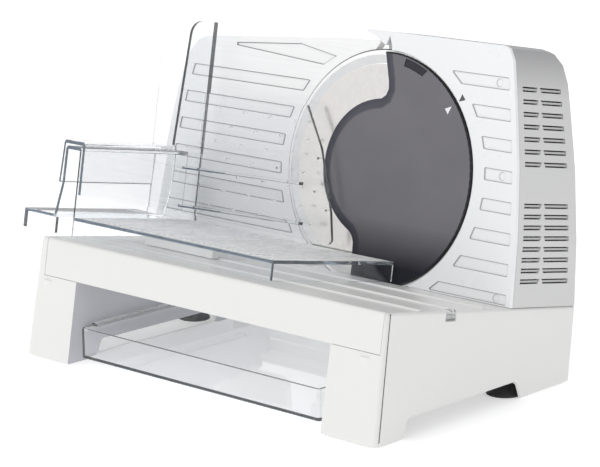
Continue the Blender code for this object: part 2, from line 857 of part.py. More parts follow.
def pocket_heights(index):
    """Lower and upper edge of a pocket about the blade's centre, kept above the plate's lower edge."""
    middle = (POCKET_COUNT / 2 - index - 0.5) * POCKET_PITCH
    lowest = PLATE_RIGHT_EDGE[-1][1] + POCKET_DEPTH
    return max(middle - POCKET_WIDTH / 2, lowest), middle + POCKET_WIDTH / 2


def circle_reach(height):
    return sqrt(POCKET_CIRCLE**2 - height**2)


def make_front_plate():
    bm = bmesh.new()
    outline = at_blade(right_plate_outline())
    add_prism(bm, outline, PLATE_Y, PLATE_Y + PLATE_THICKNESS)
    plate = solid("front_plate", bm, "plate_plastic")
    bm = bmesh.new()
    for index in range(POCKET_COUNT):
        low, high = pocket_heights(index)
        right_low = edge_at(PLATE_RIGHT_EDGE, low) - POCKET_MARGIN
        right_high = edge_at(PLATE_RIGHT_EDGE, high) - POCKET_MARGIN
        corners = [
            (circle_reach(low), low),
            (right_low, low),
            (right_high, high),
            (circle_reach(high), high),
        ]
        add_loft(bm, pocket_layers(at_blade(rounded(corners, 0.9, 2)), PLATE_Y))
    cut(plate, helper("front_plate_pockets", bm))
    bm = bmesh.new()
    for index in (0, 3, 7):
        low, high = pocket_heights(index)
        middle = (low + high) / 2
        across = edge_at(PLATE_RIGHT_EDGE, middle) - DISC_FROM_EDGE
        disc = at_blade(circle((across, middle), DISC_RADIUS, 20))
        add_prism(bm, disc, PLATE_Y - 1, PLATE_Y + POCKET_DEPTH + DISC_DEPTH)
    cut(plate, helper("front_plate_discs", bm))
    bm = bmesh.new()
    rebate = at_blade(circle((0, 0), RECESS_RADIUS + REBATE_WIDTH, 48))
    add_prism(bm, rebate, BLADE_FRONT - CLEARANCE, PLATE_Y + PLATE_THICKNESS + 2)
    cut(plate, helper("front_plate_rebate", bm))


def stop_outline():
    """Stop plate to the left of the blade, about the blade's centre, top right corner first."""
    low_angle = 180 + degrees(asin(-STOP_LEFT_EDGE[-1][1] / STOP_ARC))
    round_edge = arc((0, 0), STOP_ARC, STOP_CORNER_ANGLE, low_angle, 32)
    return list(STOP_TOP_EDGE + STOP_LEFT_EDGE) + list(reversed(round_edge))


def stop_top(x):
    """Height of the stop plate's top edge at a place along it."""
    return edge_at([(height, across) for across, height in STOP_TOP_EDGE + STOP_LEFT_EDGE[:1]], x)


def rod_places():
    return KNOB_X - ROD_SPREAD, KNOB_X + ROD_SPREAD


def make_stop_plate():
    outline = at_stop(stop_outline())
    bm = bmesh.new()
    add_prism(bm, outline, STOP_FRONT, STOP_FRONT + STOP_FLANGE)
    plate = solid("stop_plate", bm, "stop_metal")
    bm = bmesh.new()
    back = STOP_FRONT + STOP_THICKNESS
    add_prism(bm, inset(outline, STOP_FLANGE_WALL), back, STOP_FRONT + STOP_FLANGE + 2)
    cut(plate, helper("stop_plate_back", bm))
    bm = bmesh.new()
    for index in range(1, POCKET_COUNT - 1):
        low, high = pocket_heights(index)
        left_low = edge_at(STOP_LEFT_EDGE, low) + 9
        left_high = edge_at(STOP_LEFT_EDGE, high) + 9
        corners = [
            (left_low, low),
            (-circle_reach(low), low),
            (-circle_reach(high), high),
            (left_high, high),
        ]
        add_loft(bm, pocket_layers(at_stop(rounded(corners, 0.9, 2)), STOP_FRONT))
    low, high = pocket_heights(0)
    left = -156.0
    margin = 4.6
    corners = [
        (left, stop_top(left) - margin - 2.4),
        (-circle_reach(low), low),
        (-circle_reach(low) + 12, high - 1.2),
        (-91.0, stop_top(-91.0) - margin),
        (left, stop_top(left) - margin),
    ]
    add_loft(bm, pocket_layers(at_stop(corners), STOP_FRONT))
    cut(plate, helper("stop_plate_pockets", bm))
    bm = bmesh.new()
    reach = ROD_SPREAD + 9
    block = rectangle((KNOB_X - reach, KNOB_Z - 11), (KNOB_X + reach, KNOB_Z + 11), 5)
    add_prism(bm, block, SLIDER_START, SLIDER_BACK)
    join(plate, helper("stop_slider_block", bm))
    bm = bmesh.new()
    bore = SPINDLE_RADIUS + CLEARANCE
    add_prism(bm, circle((KNOB_X, KNOB_Z), bore + NUT_WALL, 20), SLIDER_BACK - 1, NUT_END)
    join(plate, helper("stop_slider_sleeve", bm))
    bm = bmesh.new()
    for x in rod_places():
        socket = circle((x, KNOB_Z), ROD_RADIUS + CLEARANCE, 20)
        add_prism(bm, socket, NUT_BOTTOM, SLIDER_BACK + 5)
    add_prism(bm, circle((KNOB_X, KNOB_Z), bore, 20), NUT_BOTTOM, NUT_END + 5)
    cut(plate, helper("stop_slider_sockets", bm))


# Thickness control behind the stop plate

def make_thickness_control():
    """Two rods that ride on the stop plate and run in the bracket, and the knob that turns its spindle."""
    for name, x in zip(("left", "right"), rod_places()):
        bm = bmesh.new()
        first = NUT_BOTTOM + CLEARANCE
        last = BRACKET_Y + BRACKET_THICKNESS + ROD_BEYOND
        add_turned(bm, [(0, first), (0, last), (ROD_RADIUS, last), (ROD_RADIUS, first)], 20)
        solid(f"{name}_guide_rod", bm, "shaft_steel", DECK, (x, 0, KNOB_Z), FACING_BACK)

    foot_right = -LEG_INNER_X - 2
    foot_front = STOP_FRONT + STOP_FLANGE + STOP_TRAVEL + 2
    left = KNOB_X - ROD_SPREAD - 9
    right = KNOB_X + ROD_SPREAD + 9
    bracket_back = BRACKET_Y + BRACKET_THICKNESS
    upright = rectangle((left, CLEARANCE), (right, KNOB_Z + 14), 6)
    bm = bmesh.new()
    add_prism(bm, upright, BRACKET_Y, bracket_back)
    bracket = solid("stop_bracket", bm, "white_plastic")
    bm = bmesh.new()
    add_box(bm, (left + 2, foot_front, CLEARANCE), (foot_right, bracket_back + 14, BRACKET_FOOT))
    join(bracket, helper("bracket_foot", bm))
    bm = bmesh.new()
    holes = [circle((x, KNOB_Z), ROD_RADIUS + CLEARANCE, 20) for x in rod_places()]
    holes.append(circle((KNOB_X, KNOB_Z), SPINDLE_RADIUS + CLEARANCE, 20))
    for hole in holes:
        add_prism(bm, hole, BRACKET_Y - 2, bracket_back + 2)
    cut(bracket, helper("bracket_holes", bm))

    bm = bmesh.new()
    flutes = []
    for step in range(KNOB_FLUTES * 2):
        radius = KNOB_RADIUS if step % 2 == 0 else KNOB_RADIUS - 0.9
        angle = 2 * pi * step / (KNOB_FLUTES * 2)
        flutes.append((radius * cos(angle), radius * sin(angle)))
    knob_end = KNOB_START + KNOB_LENGTH
    layers = [
        (inset(flutes, 0.8), KNOB_START),
        (flutes, KNOB_START + 1),
        (flutes, knob_end - 1.5),
        (inset(flutes, 1.5), knob_end),
    ]
    add_loft(bm, layers, "xy")
    place = (KNOB_X, 0, KNOB_Z)
    knob = solid("thickness_knob", bm, "black_plastic", DECK, place, FACING_BACK, 30)
    bm = bmesh.new()
    grip = rectangle((-2.5, -KNOB_RADIUS * 0.8), (2.5, KNOB_RADIUS * 0.8), 2)
    add_prism(bm, grip, knob_end - 1, knob_end + KNOB_GRIP, "xy")
    join(knob, helper("knob_grip", bm, DECK, place, FACING_BACK))
    bm = bmesh.new()
    first = NUT_END - SPINDLE_GRIP + CLEARANCE
    profile = [(0, first), (0, KNOB_START + 2), (SPINDLE_RADIUS, KNOB_START + 2), (SPINDLE_RADIUS, first)]
    add_turned(bm, profile, 20)
    join(knob, helper("knob_spindle", bm, DECK, place, FACING_BACK))


# Blade, its carrier and its drive

def make_blade():
    bm = bmesh.new()
    tooth = []
    for step in range(BLADE_TEETH * 2):
        radius = BLADE_RADIUS - (TOOTH_DEPTH if step % 2 else 0)
        angle = pi * step / BLADE_TEETH
        tooth.append((radius * cos(angle), radius * sin(angle)))
    plain = circle((0, 0), BLADE_RADIUS - BLADE_BEVEL, BLADE_TEETH * 2)
    back = BLADE_FRONT + BLADE_THICKNESS
    add_loft(bm, [(tooth, back), (tooth, back - 0.2), (plain, BLADE_FRONT)], "xy")
    origin = (BLADE_X, 0, BLADE_Z)
    blade = solid("blade", bm, "blade_steel", DECK, origin, FACING_BACK, 20)
    bm = bmesh.new()
    low = BLADE_FRONT - 2
    high = back + 2
    add_turned(bm, [(0, low), (0, high), (BLADE_BORE, high), (BLADE_BORE, low)], 32)
    cut(blade, helper("blade_bore", bm, DECK, origin, FACING_BACK))

    bm = bmesh.new()
    start = back + 0.15
    bore_radius = SHAFT_RADIUS + 0.15
    profile = [
        (bore_radius, start - BLADE_THICKNESS),
        (bore_radius, start + CARRIER_THICKNESS),
        (CARRIER_RADIUS - 6, start + CARRIER_THICKNESS),
        (CARRIER_RADIUS, start + 1.5),
        (CARRIER_RADIUS, start),
        (BLADE_BORE - 0.2, start),
        (BLADE_BORE - 0.2, start - BLADE_THICKNESS),
    ]
    add_turned(bm, list(reversed(profile)), 32)
    solid("blade_carrier", bm, "zinc_steel", DECK, origin, FACING_BACK)

    bm = bmesh.new()
    shaft_start = BLADE_FRONT + 0.3
    shaft_end = GEAR_Y + GEAR_THICKNESS / 2 + 6
    profile = [(0, shaft_start), (0, shaft_end), (SHAFT_RADIUS, shaft_end), (SHAFT_RADIUS, shaft_start)]
    add_turned(bm, profile, 32)
    solid("blade_shaft", bm, "shaft_steel", DECK, origin, FACING_BACK)

    bm = bmesh.new()
    gear_back = GEAR_Y + GEAR_THICKNESS / 2
    ring = [
        (SHAFT_RADIUS + 0.15, gear_back + CLEARANCE),
        (SHAFT_RADIUS + 0.15, gear_back + 2),
        (SHAFT_RADIUS + 3.5, gear_back + 2),
        (SHAFT_RADIUS + 3.5, gear_back + CLEARANCE),
    ]
    add_turned(bm, list(reversed(ring)), 24)
    solid("shaft_clip", bm, "shaft_steel", DECK, origin, FACING_BACK)


def gear_outline():
    """Tooth outline with straight flanks and a tooth space centred at the bottom."""
    root = GEAR_PITCH_RADIUS - 1.25 * GEAR_MODULE
    tip = GEAR_PITCH_RADIUS + GEAR_MODULE
    pitch_angle = 2 * pi / GEAR_TEETH
    tooth_share = 0.5 - THREAD_BACKLASH / (pi * GEAR_MODULE)
    outline = []
    for tooth in range(GEAR_TEETH):
        middle = -pi / 2 + (tooth + 0.5) * pitch_angle
        for radius, share in ((root, -0.78), (tip, -0.30), (tip, 0.30), (root, 0.78)):
            half = share * tooth_share * pitch_angle * (1.0 if abs(share) < 0.5 else 0.95)
            angle = middle + half
            outline.append((radius * cos(angle), radius * sin(angle)))
    return outline


def make_drive_gear():
    bm = bmesh.new()
    front = GEAR_Y - GEAR_THICKNESS / 2
    back = GEAR_Y + GEAR_THICKNESS / 2
    # The object is turned to face back, so its outline is mirrored top to bottom
    outline = [(x, -z) for x, z in gear_outline()]
    add_prism(bm, outline, front, back, "xy")
    origin = (BLADE_X, 0, BLADE_Z)
    gear = solid("drive_gear", bm, "nylon", DECK, origin, FACING_BACK, 25)
    web = 3.0
    for name, low, high in (("front", front - 1, front + web), ("back", back - web, back + 1)):
        bm = bmesh.new()
        dish = [(13.0, low), (13.0, high), (34.0, high), (34.0, low)]
        add_turned(bm, list(reversed(dish)), 32)
        cut(gear, helper(f"gear_{name}_dish", bm, DECK, origin, FACING_BACK))
    bm = bmesh.new()
    bore = SHAFT_RADIUS + 0.15
    add_turned(bm, [(0, front - 2), (0, back + 2), (bore, back + 2), (bore, front - 2)], 24)
    cut(gear, helper("gear_bore", bm, DECK, origin, FACING_BACK))


def worm_radius(phase):
    """Radius of the worm at a phase of 0 to 1 along one turn of its thread."""
    root = WORM_PITCH_RADIUS - 1.25 * GEAR_MODULE
    tip = WORM_PITCH_RADIUS + GEAR_MODULE
    offset = abs((phase + 0.5) % 1.0 - 0.5)
    narrow = 0.09
    wide = 0.30
    if offset <= narrow:
        return tip
    if offset >= wide:
        return root
    return tip + (root - tip) * (offset - narrow) / (wide - narrow)


def make_worm():
    """Worm cut in one with the motor's shaft, which turns along X below the gear."""
    lead = pi * GEAR_MODULE
    root = WORM_PITCH_RADIUS - 1.25 * GEAR_MODULE
    around = 10
    per_turn = 8
    stations = int((WORM_RIGHT - WORM_LEFT) / lead * per_turn)
    rings = []
    for station in range(stations + 1):
        along = WORM_LEFT + (WORM_RIGHT - WORM_LEFT) * station / stations
        fade = min(1.0, (along - WORM_LEFT) / (lead * 0.5), (WORM_RIGHT - along) / (lead * 0.5))
        ring = []
        for step in range(around):
            turn = step / around
            full = worm_radius(along / lead - turn + 0.25)
            radius = root + (full - root) * fade
            angle = 2 * pi * turn
            ring.append((along * MM, radius * cos(angle) * MM, radius * sin(angle) * MM))
        rings.append(ring)
    bm = bmesh.new()
    add_rings(bm, rings)
    origin = (BLADE_X, GEAR_Y, WORM_Z)
    worm = solid("worm", bm, "shaft_steel", DECK, origin)
    bm = bmesh.new()
    left = WORM_LEFT - 0.8 - WORM_EAR
    right = MOTOR_START + MOTOR_LENGTH + FAN_THICKNESS + 4 - BLADE_X
    profile = [(0, left), (0, right), (MOTOR_SHAFT_RADIUS, right), (MOTOR_SHAFT_RADIUS, left)]
    add_turned(bm, profile, 20)
    join(worm, helper("motor_shaft", bm, DECK, origin, FACING_RIGHT))


def make_fan():
    start = MOTOR_START + MOTOR_LENGTH + 2.5 - BLADE_X
    origin = (BLADE_X, GEAR_Y, WORM_Z)
    bm = bmesh.new()
    bore = MOTOR_SHAFT_RADIUS + 0.15
    profile = [
        (bore, start),
        (bore, start + FAN_THICKNESS),
        (bore + 4, start + FAN_THICKNESS),
        (bore + 4, start + 1.6),
        (FAN_RADIUS, start + 1.6),
        (FAN_RADIUS, start),
    ]
    add_turned(bm, list(reversed(profile)), 30)
    fan = solid("cooling_fan", bm, "black_plastic", DECK, origin, FACING_RIGHT)
    bm = bmesh.new()
    for blade in range(FAN_BLADES):
        angle = 2 * pi * blade / FAN_BLADES
        corners = []
        for radius, across in ((bore + 3, -0.6), (FAN_RADIUS - 0.5, -0.6), (FAN_RADIUS - 0.5, 0.6), (bore + 3, 0.6)):
            corners.append(
                (radius * cos(angle) - across * sin(angle), radius * sin(angle) + across * cos(angle))
            )
        add_prism(bm, corners, start + 1, start + FAN_THICKNESS, "xy")
    join(fan, helper("fan_blades", bm, DECK, origin, FACING_RIGHT))


def make_motor():
    bm = bmesh.new()
    start = MOTOR_START - BLADE_X
    end = start + MOTOR_LENGTH
    bore = MOTOR_SHAFT_RADIUS + CLEARANCE
    profile = [
        (bore, start - 3),
        (bore, end + 1.5),
        (8.0, end + 1.5),
        (8.0, end),
        (MOTOR_RADIUS - 2, end),
        (MOTOR_RADIUS, end - 2),
        (MOTOR_RADIUS, start + 2),
        (MOTOR_RADIUS - 2, start),
        (8.0, start),
        (8.0, start - 3),
    ]
    add_turned(bm, list(reversed(profile)), 24)
    solid("motor", bm, "zinc_steel", DECK, (BLADE_X, GEAR_Y, WORM_Z), FACING_RIGHT)


def make_motor_bracket():
    """Bent sheet bracket with an ear at the motor's face and one at the worm's free end."""
    left = BLADE_X + WORM_LEFT - 0.8 - WORM_EAR
    right = MOTOR_START - 3 - CLEARANCE
    ear = 2.5
    front = BEARING_PLATE_Y + BEARING_PLATE_THICKNESS + CLEARANCE
    back = GEAR_Y + 9
    profile = [
        (left, front),
        (right, front),
        (right, back),
        (right - ear, back),
        (right - ear, front + ear),
        (left + WORM_EAR, front + ear),
        (left + WORM_EAR, back),
        (left, back),
    ]
    bm = bmesh.new()
    add_prism(bm, profile, WORM_Z - 6, WORM_Z + 4.8, "xy")
    bracket = solid("motor_bracket", bm, "zinc_steel")
    bm = bmesh.new()
    bore = MOTOR_SHAFT_RADIUS + CLEARANCE
    reach = right - left + 20
    add_turned(bm, [(0, 0), (0, reach), (bore, reach), (bore, 0)], 20)
    cut(bracket, helper("bracket_shaft_holes", bm, DECK, (left - 5, GEAR_Y, WORM_Z), FACING_RIGHT))


def make_bearing_plate():
    """Inner plate of the housing, with the boss that holds the blade shaft's bush."""
    outline = inset(at_blade(housing_outline()), WALL + CLEARANCE)
    bm = bmesh.new()
    back = BEARING_PLATE_Y + BEARING_PLATE_THICKNESS
    add_prism(bm, outline, BEARING_PLATE_Y, back)
    plate = solid("bearing_plate", bm, "housing_plastic")
    origin = (BLADE_X, 0, BLADE_Z)
    outer = SHAFT_RADIUS + RUNNING_GAP + BUSH_WALL + CLEARANCE + 4.5
    end = BEARING_PLATE_Y + BUSH_LENGTH - 1.5
    bm = bmesh.new()
    boss = [(0, back - 1), (0, end), (outer, end), (outer + 2.5, back - 1)]
    add_turned(bm, boss, 32)
    join(plate, helper("bearing_boss", bm, DECK, origin, FACING_BACK))
    bm = bmesh.new()
    for step in range(6):
        angle = pi * step / 3
        ribs = []
        for radius, across in ((outer - 2, -1.1), (outer + 15, -1.1), (outer + 15, 1.1), (outer - 2, 1.1)):
            x = radius * cos(angle) - across * sin(angle)
            z = radius * sin(angle) + across * cos(angle)
            ribs.append((x, z))
        add_prism(bm, at_blade(ribs), back - 1, back + 7)
    join(plate, helper("bearing_ribs", bm))
    bm = bmesh.new()
    hole = SHAFT_RADIUS + RUNNING_GAP + BUSH_WALL + CLEARANCE
    front = BEARING_PLATE_Y - 2
    add_turned(bm, [(0, front), (0, end + 3), (hole, end + 3), (hole, front)], 32)
    cut(plate, helper("bearing_hole", bm, DECK, origin, FACING_BACK))

    bm = bmesh.new()
    inner = SHAFT_RADIUS + RUNNING_GAP
    bush_outer = inner + BUSH_WALL
    start = BEARING_PLATE_Y - 0.2
    profile = [(inner, start), (inner, start + BUSH_LENGTH), (bush_outer, start + BUSH_LENGTH), (bush_outer, start)]
    add_turned(bm, list(reversed(profile)), 32)
    solid("shaft_bush", bm, "bronze", DECK, origin, FACING_BACK)


# Housing

def housing_outline():
    """Front view of the housing about the blade's centre: a bulge round the shaft and a block to its right."""
    bulge = arc((0, 0), HOUSING_BULGE, 99, 246, 26)
    low = PLATE_RIGHT_EDGE[-1][1]
    top_left = [(-5.5, PLATE_TOP), (-5.2, 88.6), (0.6, 64.0), (1.8, 60.4), (0.4, 54.8), (-2.6, 51.2)]
    bottom_left = [(-17.0, -49.0), (-15.6, -53.3), (-15.4, low)]
    return top_left + bulge + bottom_left + list(reversed(PLATE_RIGHT_EDGE))


def make_motor_housing():
    front = PLATE_Y + PLATE_THICKNESS + CLEARANCE
    outline = at_blade(housing_outline())
    bm = bmesh.new()
    add_prism(bm, outline, front, DECK_DEPTH + 5)
    housing = solid("motor_housing", bm, "housing_plastic")
    side = [(front - 4, CLEARANCE - 4)] + [(DECK_DEPTH - CLEARANCE, CLEARANCE - 4)] + list(HOUSING_BACK[1:])
    side += [(front - 4, HOUSING_BACK[-1][1] + 0.001)]
    bm = bmesh.new()
    add_prism(bm, side, BLADE_X - 120, BLADE_X + 160, "yz")
    keep_common(housing, helper("housing_side_view", bm))

    hollow = [(x - WALL, z) for x, z in HOUSING_BACK]
    hollow[0] = (hollow[0][0], CLEARANCE + WALL)
    hollow[-1] = (hollow[-1][0] + 1, hollow[-1][1] - WALL)
    hollow[-2] = (hollow[-2][0], hollow[-2][1] - 1.2)
    hollow = [(front - 6, CLEARANCE + WALL)] + hollow + [(front - 6, HOUSING_BACK[-1][1] - WALL)]
    bm = bmesh.new()
    add_prism(bm, inset(outline, WALL), front - 5, DECK_DEPTH + 6)
    tool = helper("housing_hollow", bm)
    bm = bmesh.new()
    add_prism(bm, hollow, BLADE_X - 120, BLADE_X + 160, "yz")
    keep_common(tool, helper("housing_hollow_side", bm))
    cut(housing, tool)

    bm = bmesh.new()
    for top, pitch, count in (
        (UPPER_VENT_TOP, UPPER_VENT_PITCH, UPPER_VENTS),
        (LOWER_VENT_TOP, LOWER_VENT_PITCH, LOWER_VENTS),
    ):
        for index in range(count):
            middle = top - index * pitch
            low = middle - VENT_HEIGHT / 2
            high = middle + VENT_HEIGHT / 2
            start = VENT_START
            end = housing_back_at(middle) - VENT_MARGIN
            bridge = start + (end - start) * 0.42
            half = VENT_BRIDGE / 2
            lean = VENT_HEIGHT * 0.5
            first = [(start, low), (bridge - half - lean, low), (bridge - half, high), (start, high)]
            second = [(bridge + half + lean, low), (end, low), (end, high), (bridge + half, high)]
            wall_x = BLADE_X + edge_at(PLATE_RIGHT_EDGE, middle - BLADE_Z)
            add_prism(bm, first, wall_x - WALL - 6, wall_x + 8, "yz")
            add_prism(bm, second, wall_x - WALL - 6, wall_x + 8, "yz")
    cut(housing, helper("side_vents", bm))

    bm = bmesh.new()
    back = housing_back_at(BUTTON_Z)
    half_x = BUTTON_WIDTH / 2 + 0.4
    half_z = BUTTON_HEIGHT / 2 + 0.4
    window = rectangle((BUTTON_X - half_x, BUTTON_Z - half_z), (BUTTON_X + half_x, BUTTON_Z + half_z), 3)
    add_prism(bm, window, back - 8, back + 8)
    hole = circle((LOCK_X, BUTTON_Z), LOCK_RADIUS + 0.4, 24)
    add_prism(bm, hole, back - 8, back + 8)
    cut(housing, helper("button_windows", bm))


def make_buttons():
    half_x = BUTTON_WIDTH / 2
    half_z = BUTTON_HEIGHT / 2
    back = housing_back_at(BUTTON_Z)
    inner = back - 9
    low = (BUTTON_X - half_x, BUTTON_Z - half_z)
    high = (BUTTON_X + half_x, BUTTON_Z + half_z)
    face = rectangle(low, high, 2.8)
    bm = bmesh.new()
    add_loft(bm, [(face, inner), (face, BUTTON_BACK - 1), (inset(face, 1), BUTTON_BACK)])
    solid("power_button", bm, "black_plastic")

    bm = bmesh.new()
    disc = circle((LOCK_X, BUTTON_Z), LOCK_RADIUS, 24)
    add_loft(bm, [(disc, inner), (disc, BUTTON_BACK - 1.6), (inset(disc, 0.8), BUTTON_BACK - 0.8)])
    solid("lock_button", bm, "black_plastic")

    block_low = BUTTON_Z - half_z - 3
    block_high = BUTTON_Z + half_z + 3
    left = LOCK_X - LOCK_RADIUS - 4
    right = BUTTON_X + half_x + 4
    gap = WALL + CLEARANCE
    side = [
        (housing_back_at(block_low) - gap, block_low),
        (housing_back_at(block_high) - gap, block_high),
        (back - SWITCH_DEPTH, block_high),
        (back - SWITCH_DEPTH, block_low),
    ]
    bm = bmesh.new()
    add_prism(bm, side, left, right, "yz")
    block = solid("switch_block", bm, "white_plastic")
    bm = bmesh.new()
    room = rectangle((low[0] - 0.5, low[1] - 0.5), (high[0] + 0.5, high[1] + 0.5), 3)
    add_prism(bm, room, inner - 3.6, back + 4)
    add_prism(bm, circle((LOCK_X, BUTTON_Z), LOCK_RADIUS + 0.5, 24), inner - 3.6, back + 4)
    cut(block, helper("switch_pockets", bm))


# Blade cover

def cover_outline():
    """Outline about the blade's centre, and how far each side slopes in."""
    left_top = degrees(acos(-5.4 / COVER_RADIUS))
    left_low = 180 + degrees(acos(15.4 / COVER_RADIUS))
    # The rim's first and last steps are longer than the wide slopes that meet it there
    step = degrees((COVER_BEVEL + 3) / COVER_RADIUS)
    first = left_top - step
    last = left_low - 360 + step
    rim = arc((0, 0), COVER_RADIUS, left_top, first, 1)[:1]
    rim += arc((0, 0), COVER_RADIUS, first, last, 50)
    rim += arc((0, 0), COVER_RADIUS, last, left_low - 360, 1)[1:]
    rise = [(-15.5, -60.0), (-15.9, -54.5), (-17.6, -50.6), (-20.4, -47.4)]
    bulge = arc((0, 0), HOUSING_BULGE + 2, 242, 104, 24)
    drop = [(-9.6, 50.7), (-4.6, 51.6), (-0.6, 54.4), (1.2, 59.2), (0.5, 64.6)]
    outline = rim + rise + bulge + drop
    slopes = [COVER_RIM_BEVEL] * (len(rim) - 1)
    slopes += [COVER_BEVEL] * (len(outline) - len(slopes))
    return outline, slopes


def make_blade_cover():
    outline, slopes = cover_outline()
    face = inset(outline, slopes)
    origin = (BLADE_X, 0, BLADE_Z)
    # The object is turned to face back, so its outline is mirrored top to bottom
    outline = [(x, -z) for x, z in outline]
    face = [(x, -z) for x, z in face]
    back = COVER_FRONT + COVER_THICKNESS
    bm = bmesh.new()
    add_loft(bm, [(outline, back), (outline, back - 0.7), (face, COVER_FRONT)], "xy")
    cover = solid("blade_cover", bm, "cover_plastic", DECK, origin, FACING_BACK, 20)
    bm = bmesh.new()
    inner = COVER_RADIUS - 7.6
    outer = COVER_RADIUS - 1.9
    slot = arc((0, 0), outer, 64.5, 79.5, 8) + list(reversed(arc((0, 0), inner, 66.0, 79.5, 8)))
    slot = [(x, -z) for x, z in slot]
    add_prism(bm, slot, COVER_FRONT - 3, back - SLOT_FLOOR, "xy")
    cut(cover, helper("cover_finger_slot", bm, DECK, origin, FACING_BACK))


# Carriage

def make_carriage():
    table = [
        (CARRIAGE_LEFT, CARRIAGE_FRONT),
        (CARRIAGE_RIGHT_FRONT, CARRIAGE_FRONT),
        (CARRIAGE_RIGHT_BACK, CARRIAGE_BACK),
        (CARRIAGE_LEFT, CARRIAGE_BACK),
    ]
    outer = rounded(table, (0.8, 1.5, 1, 1), 2)
    bm = bmesh.new()
    add_prism(bm, outer, SKIRT_BOTTOM, TABLE_TOP, "xy")
    carriage = solid("carriage", bm, "clear_plastic", smooth=25)
    bm = bmesh.new()
    add_prism(bm, inset(table, (SHEET, SHEET, -6, SHEET)), SKIRT_BOTTOM - 2, TABLE_TOP - SHEET, "xy")
    cut(carriage, helper("carriage_underside", bm))

    wall = [
        (WALL_FOOT_X, TABLE_TOP - 1),
        (WALL_KNEE_X, WALL_KNEE_Z),
        (WALL_TOP_X, WALL_TOP - 2),
        (WALL_TOP_X + 1.6, WALL_TOP),
        (WALL_INNER_X - 1.6, WALL_TOP),
        (WALL_INNER_X, WALL_TOP - 1.6),
        (WALL_INNER_X, TABLE_TOP - 1),
        (WALL_INNER_X - THIN_SHEET, TABLE_TOP - 1),
        (WALL_INNER_X - THIN_SHEET, WALL_TOP - SHEET),
        (WALL_TOP_X + SHEET, WALL_TOP - SHEET),
        (WALL_KNEE_X + SHEET, WALL_KNEE_Z),
        (WALL_FOOT_X + SHEET, TABLE_TOP - 1),
    ]
    bm = bmesh.new()
    add_prism(bm, wall, CARRIAGE_FRONT + 0.01, GUARD_BACK - 1)
    join(carriage, helper("carriage_wall", bm))
    bm = bmesh.new()
    low = (WALL_FOOT_X + SHEET, CARRIAGE_FRONT - 1, SKIRT_BOTTOM - 2)
    high = (WALL_INNER_X - THIN_SHEET, GUARD_BACK - SHEET - 1, TABLE_TOP + 1)
    add_box(bm, low, high)
    cut(carriage, helper("carriage_wall_hollow", bm))

    guard = rounded(
        [
            (GUARD_LEFT, TABLE_TOP - 1),
            (GUARD_RIGHT, TABLE_TOP - 1),
            (GUARD_RIGHT, GUARD_TOP),
            (GUARD_LEFT, GUARD_TOP),
        ],
        (0, 0, 1, GUARD_ROUND),
        6,
    )
    bm = bmesh.new()
    add_prism(bm, guard, GUARD_BACK - SHEET - 0.3, GUARD_BACK)
    join(carriage, helper("thumb_guard", bm))

    wing = rounded(
        [
            (WING_FRONT, WING_BOTTOM),
            (GUARD_BACK - 0.4, WING_BOTTOM),
            (GUARD_BACK - 0.4, GUARD_TOP - 0.2),
            (WING_FRONT + WING_LEAN, GUARD_TOP - 0.2),
        ],
        (1, 0, 0, 11),
        6,
    )
    bm = bmesh.new()
    add_prism(bm, wing, GUARD_RIGHT - SHEET, GUARD_RIGHT - 0.01, "yz")
    join(carriage, helper("guard_wing", bm))

    bm = bmesh.new()
    first = WALL_INNER_X + 12
    last = CARRIAGE_RIGHT_FRONT - 6
    for index in range(TABLE_RIBS):
        x = first + (last - first) * index / (TABLE_RIBS - 1)
        half = TABLE_RIB_WIDTH / 2
        ridge = [
            (x - half, TABLE_TOP - 0.5),
            (x + half, TABLE_TOP - 0.5),
            (x + half * 0.4, TABLE_TOP + TABLE_RIB_HEIGHT),
            (x - half * 0.4, TABLE_TOP + TABLE_RIB_HEIGHT),
        ]
        add_prism(bm, ridge, CARRIAGE_FRONT + 7, CARRIAGE_BACK - 4)
    join(carriage, helper("table_ribs", bm))


def make_carriage_guide():
    """Slide shoe under the table, grooved to run along the deck's middle ridge."""
    top = TABLE_TOP - SHEET - CLEARANCE
    bottom = CLEARANCE + 0.1
    middle = RAIL_POSITIONS[1]
    groove = DECK_RAIL_WIDTH / 2 + CLEARANCE
    roof = DECK_RAIL_HEIGHT + CLEARANCE
    half = GUIDE_WIDTH / 2
    profile = [
        (middle - half, top),
        (middle - half, bottom),
        (middle - groove, bottom),
        (middle - groove + 0.8, roof),
        (middle + groove - 0.8, roof),
        (middle + groove, bottom),
        (middle + half, bottom),
        (middle + half, top),
    ]
    bm = bmesh.new()
    add_prism(bm, profile, GUIDE_LEFT, GUIDE_LEFT + GUIDE_LENGTH, "yz")
    solid("carriage_guide", bm, "nylon")


# Food holder

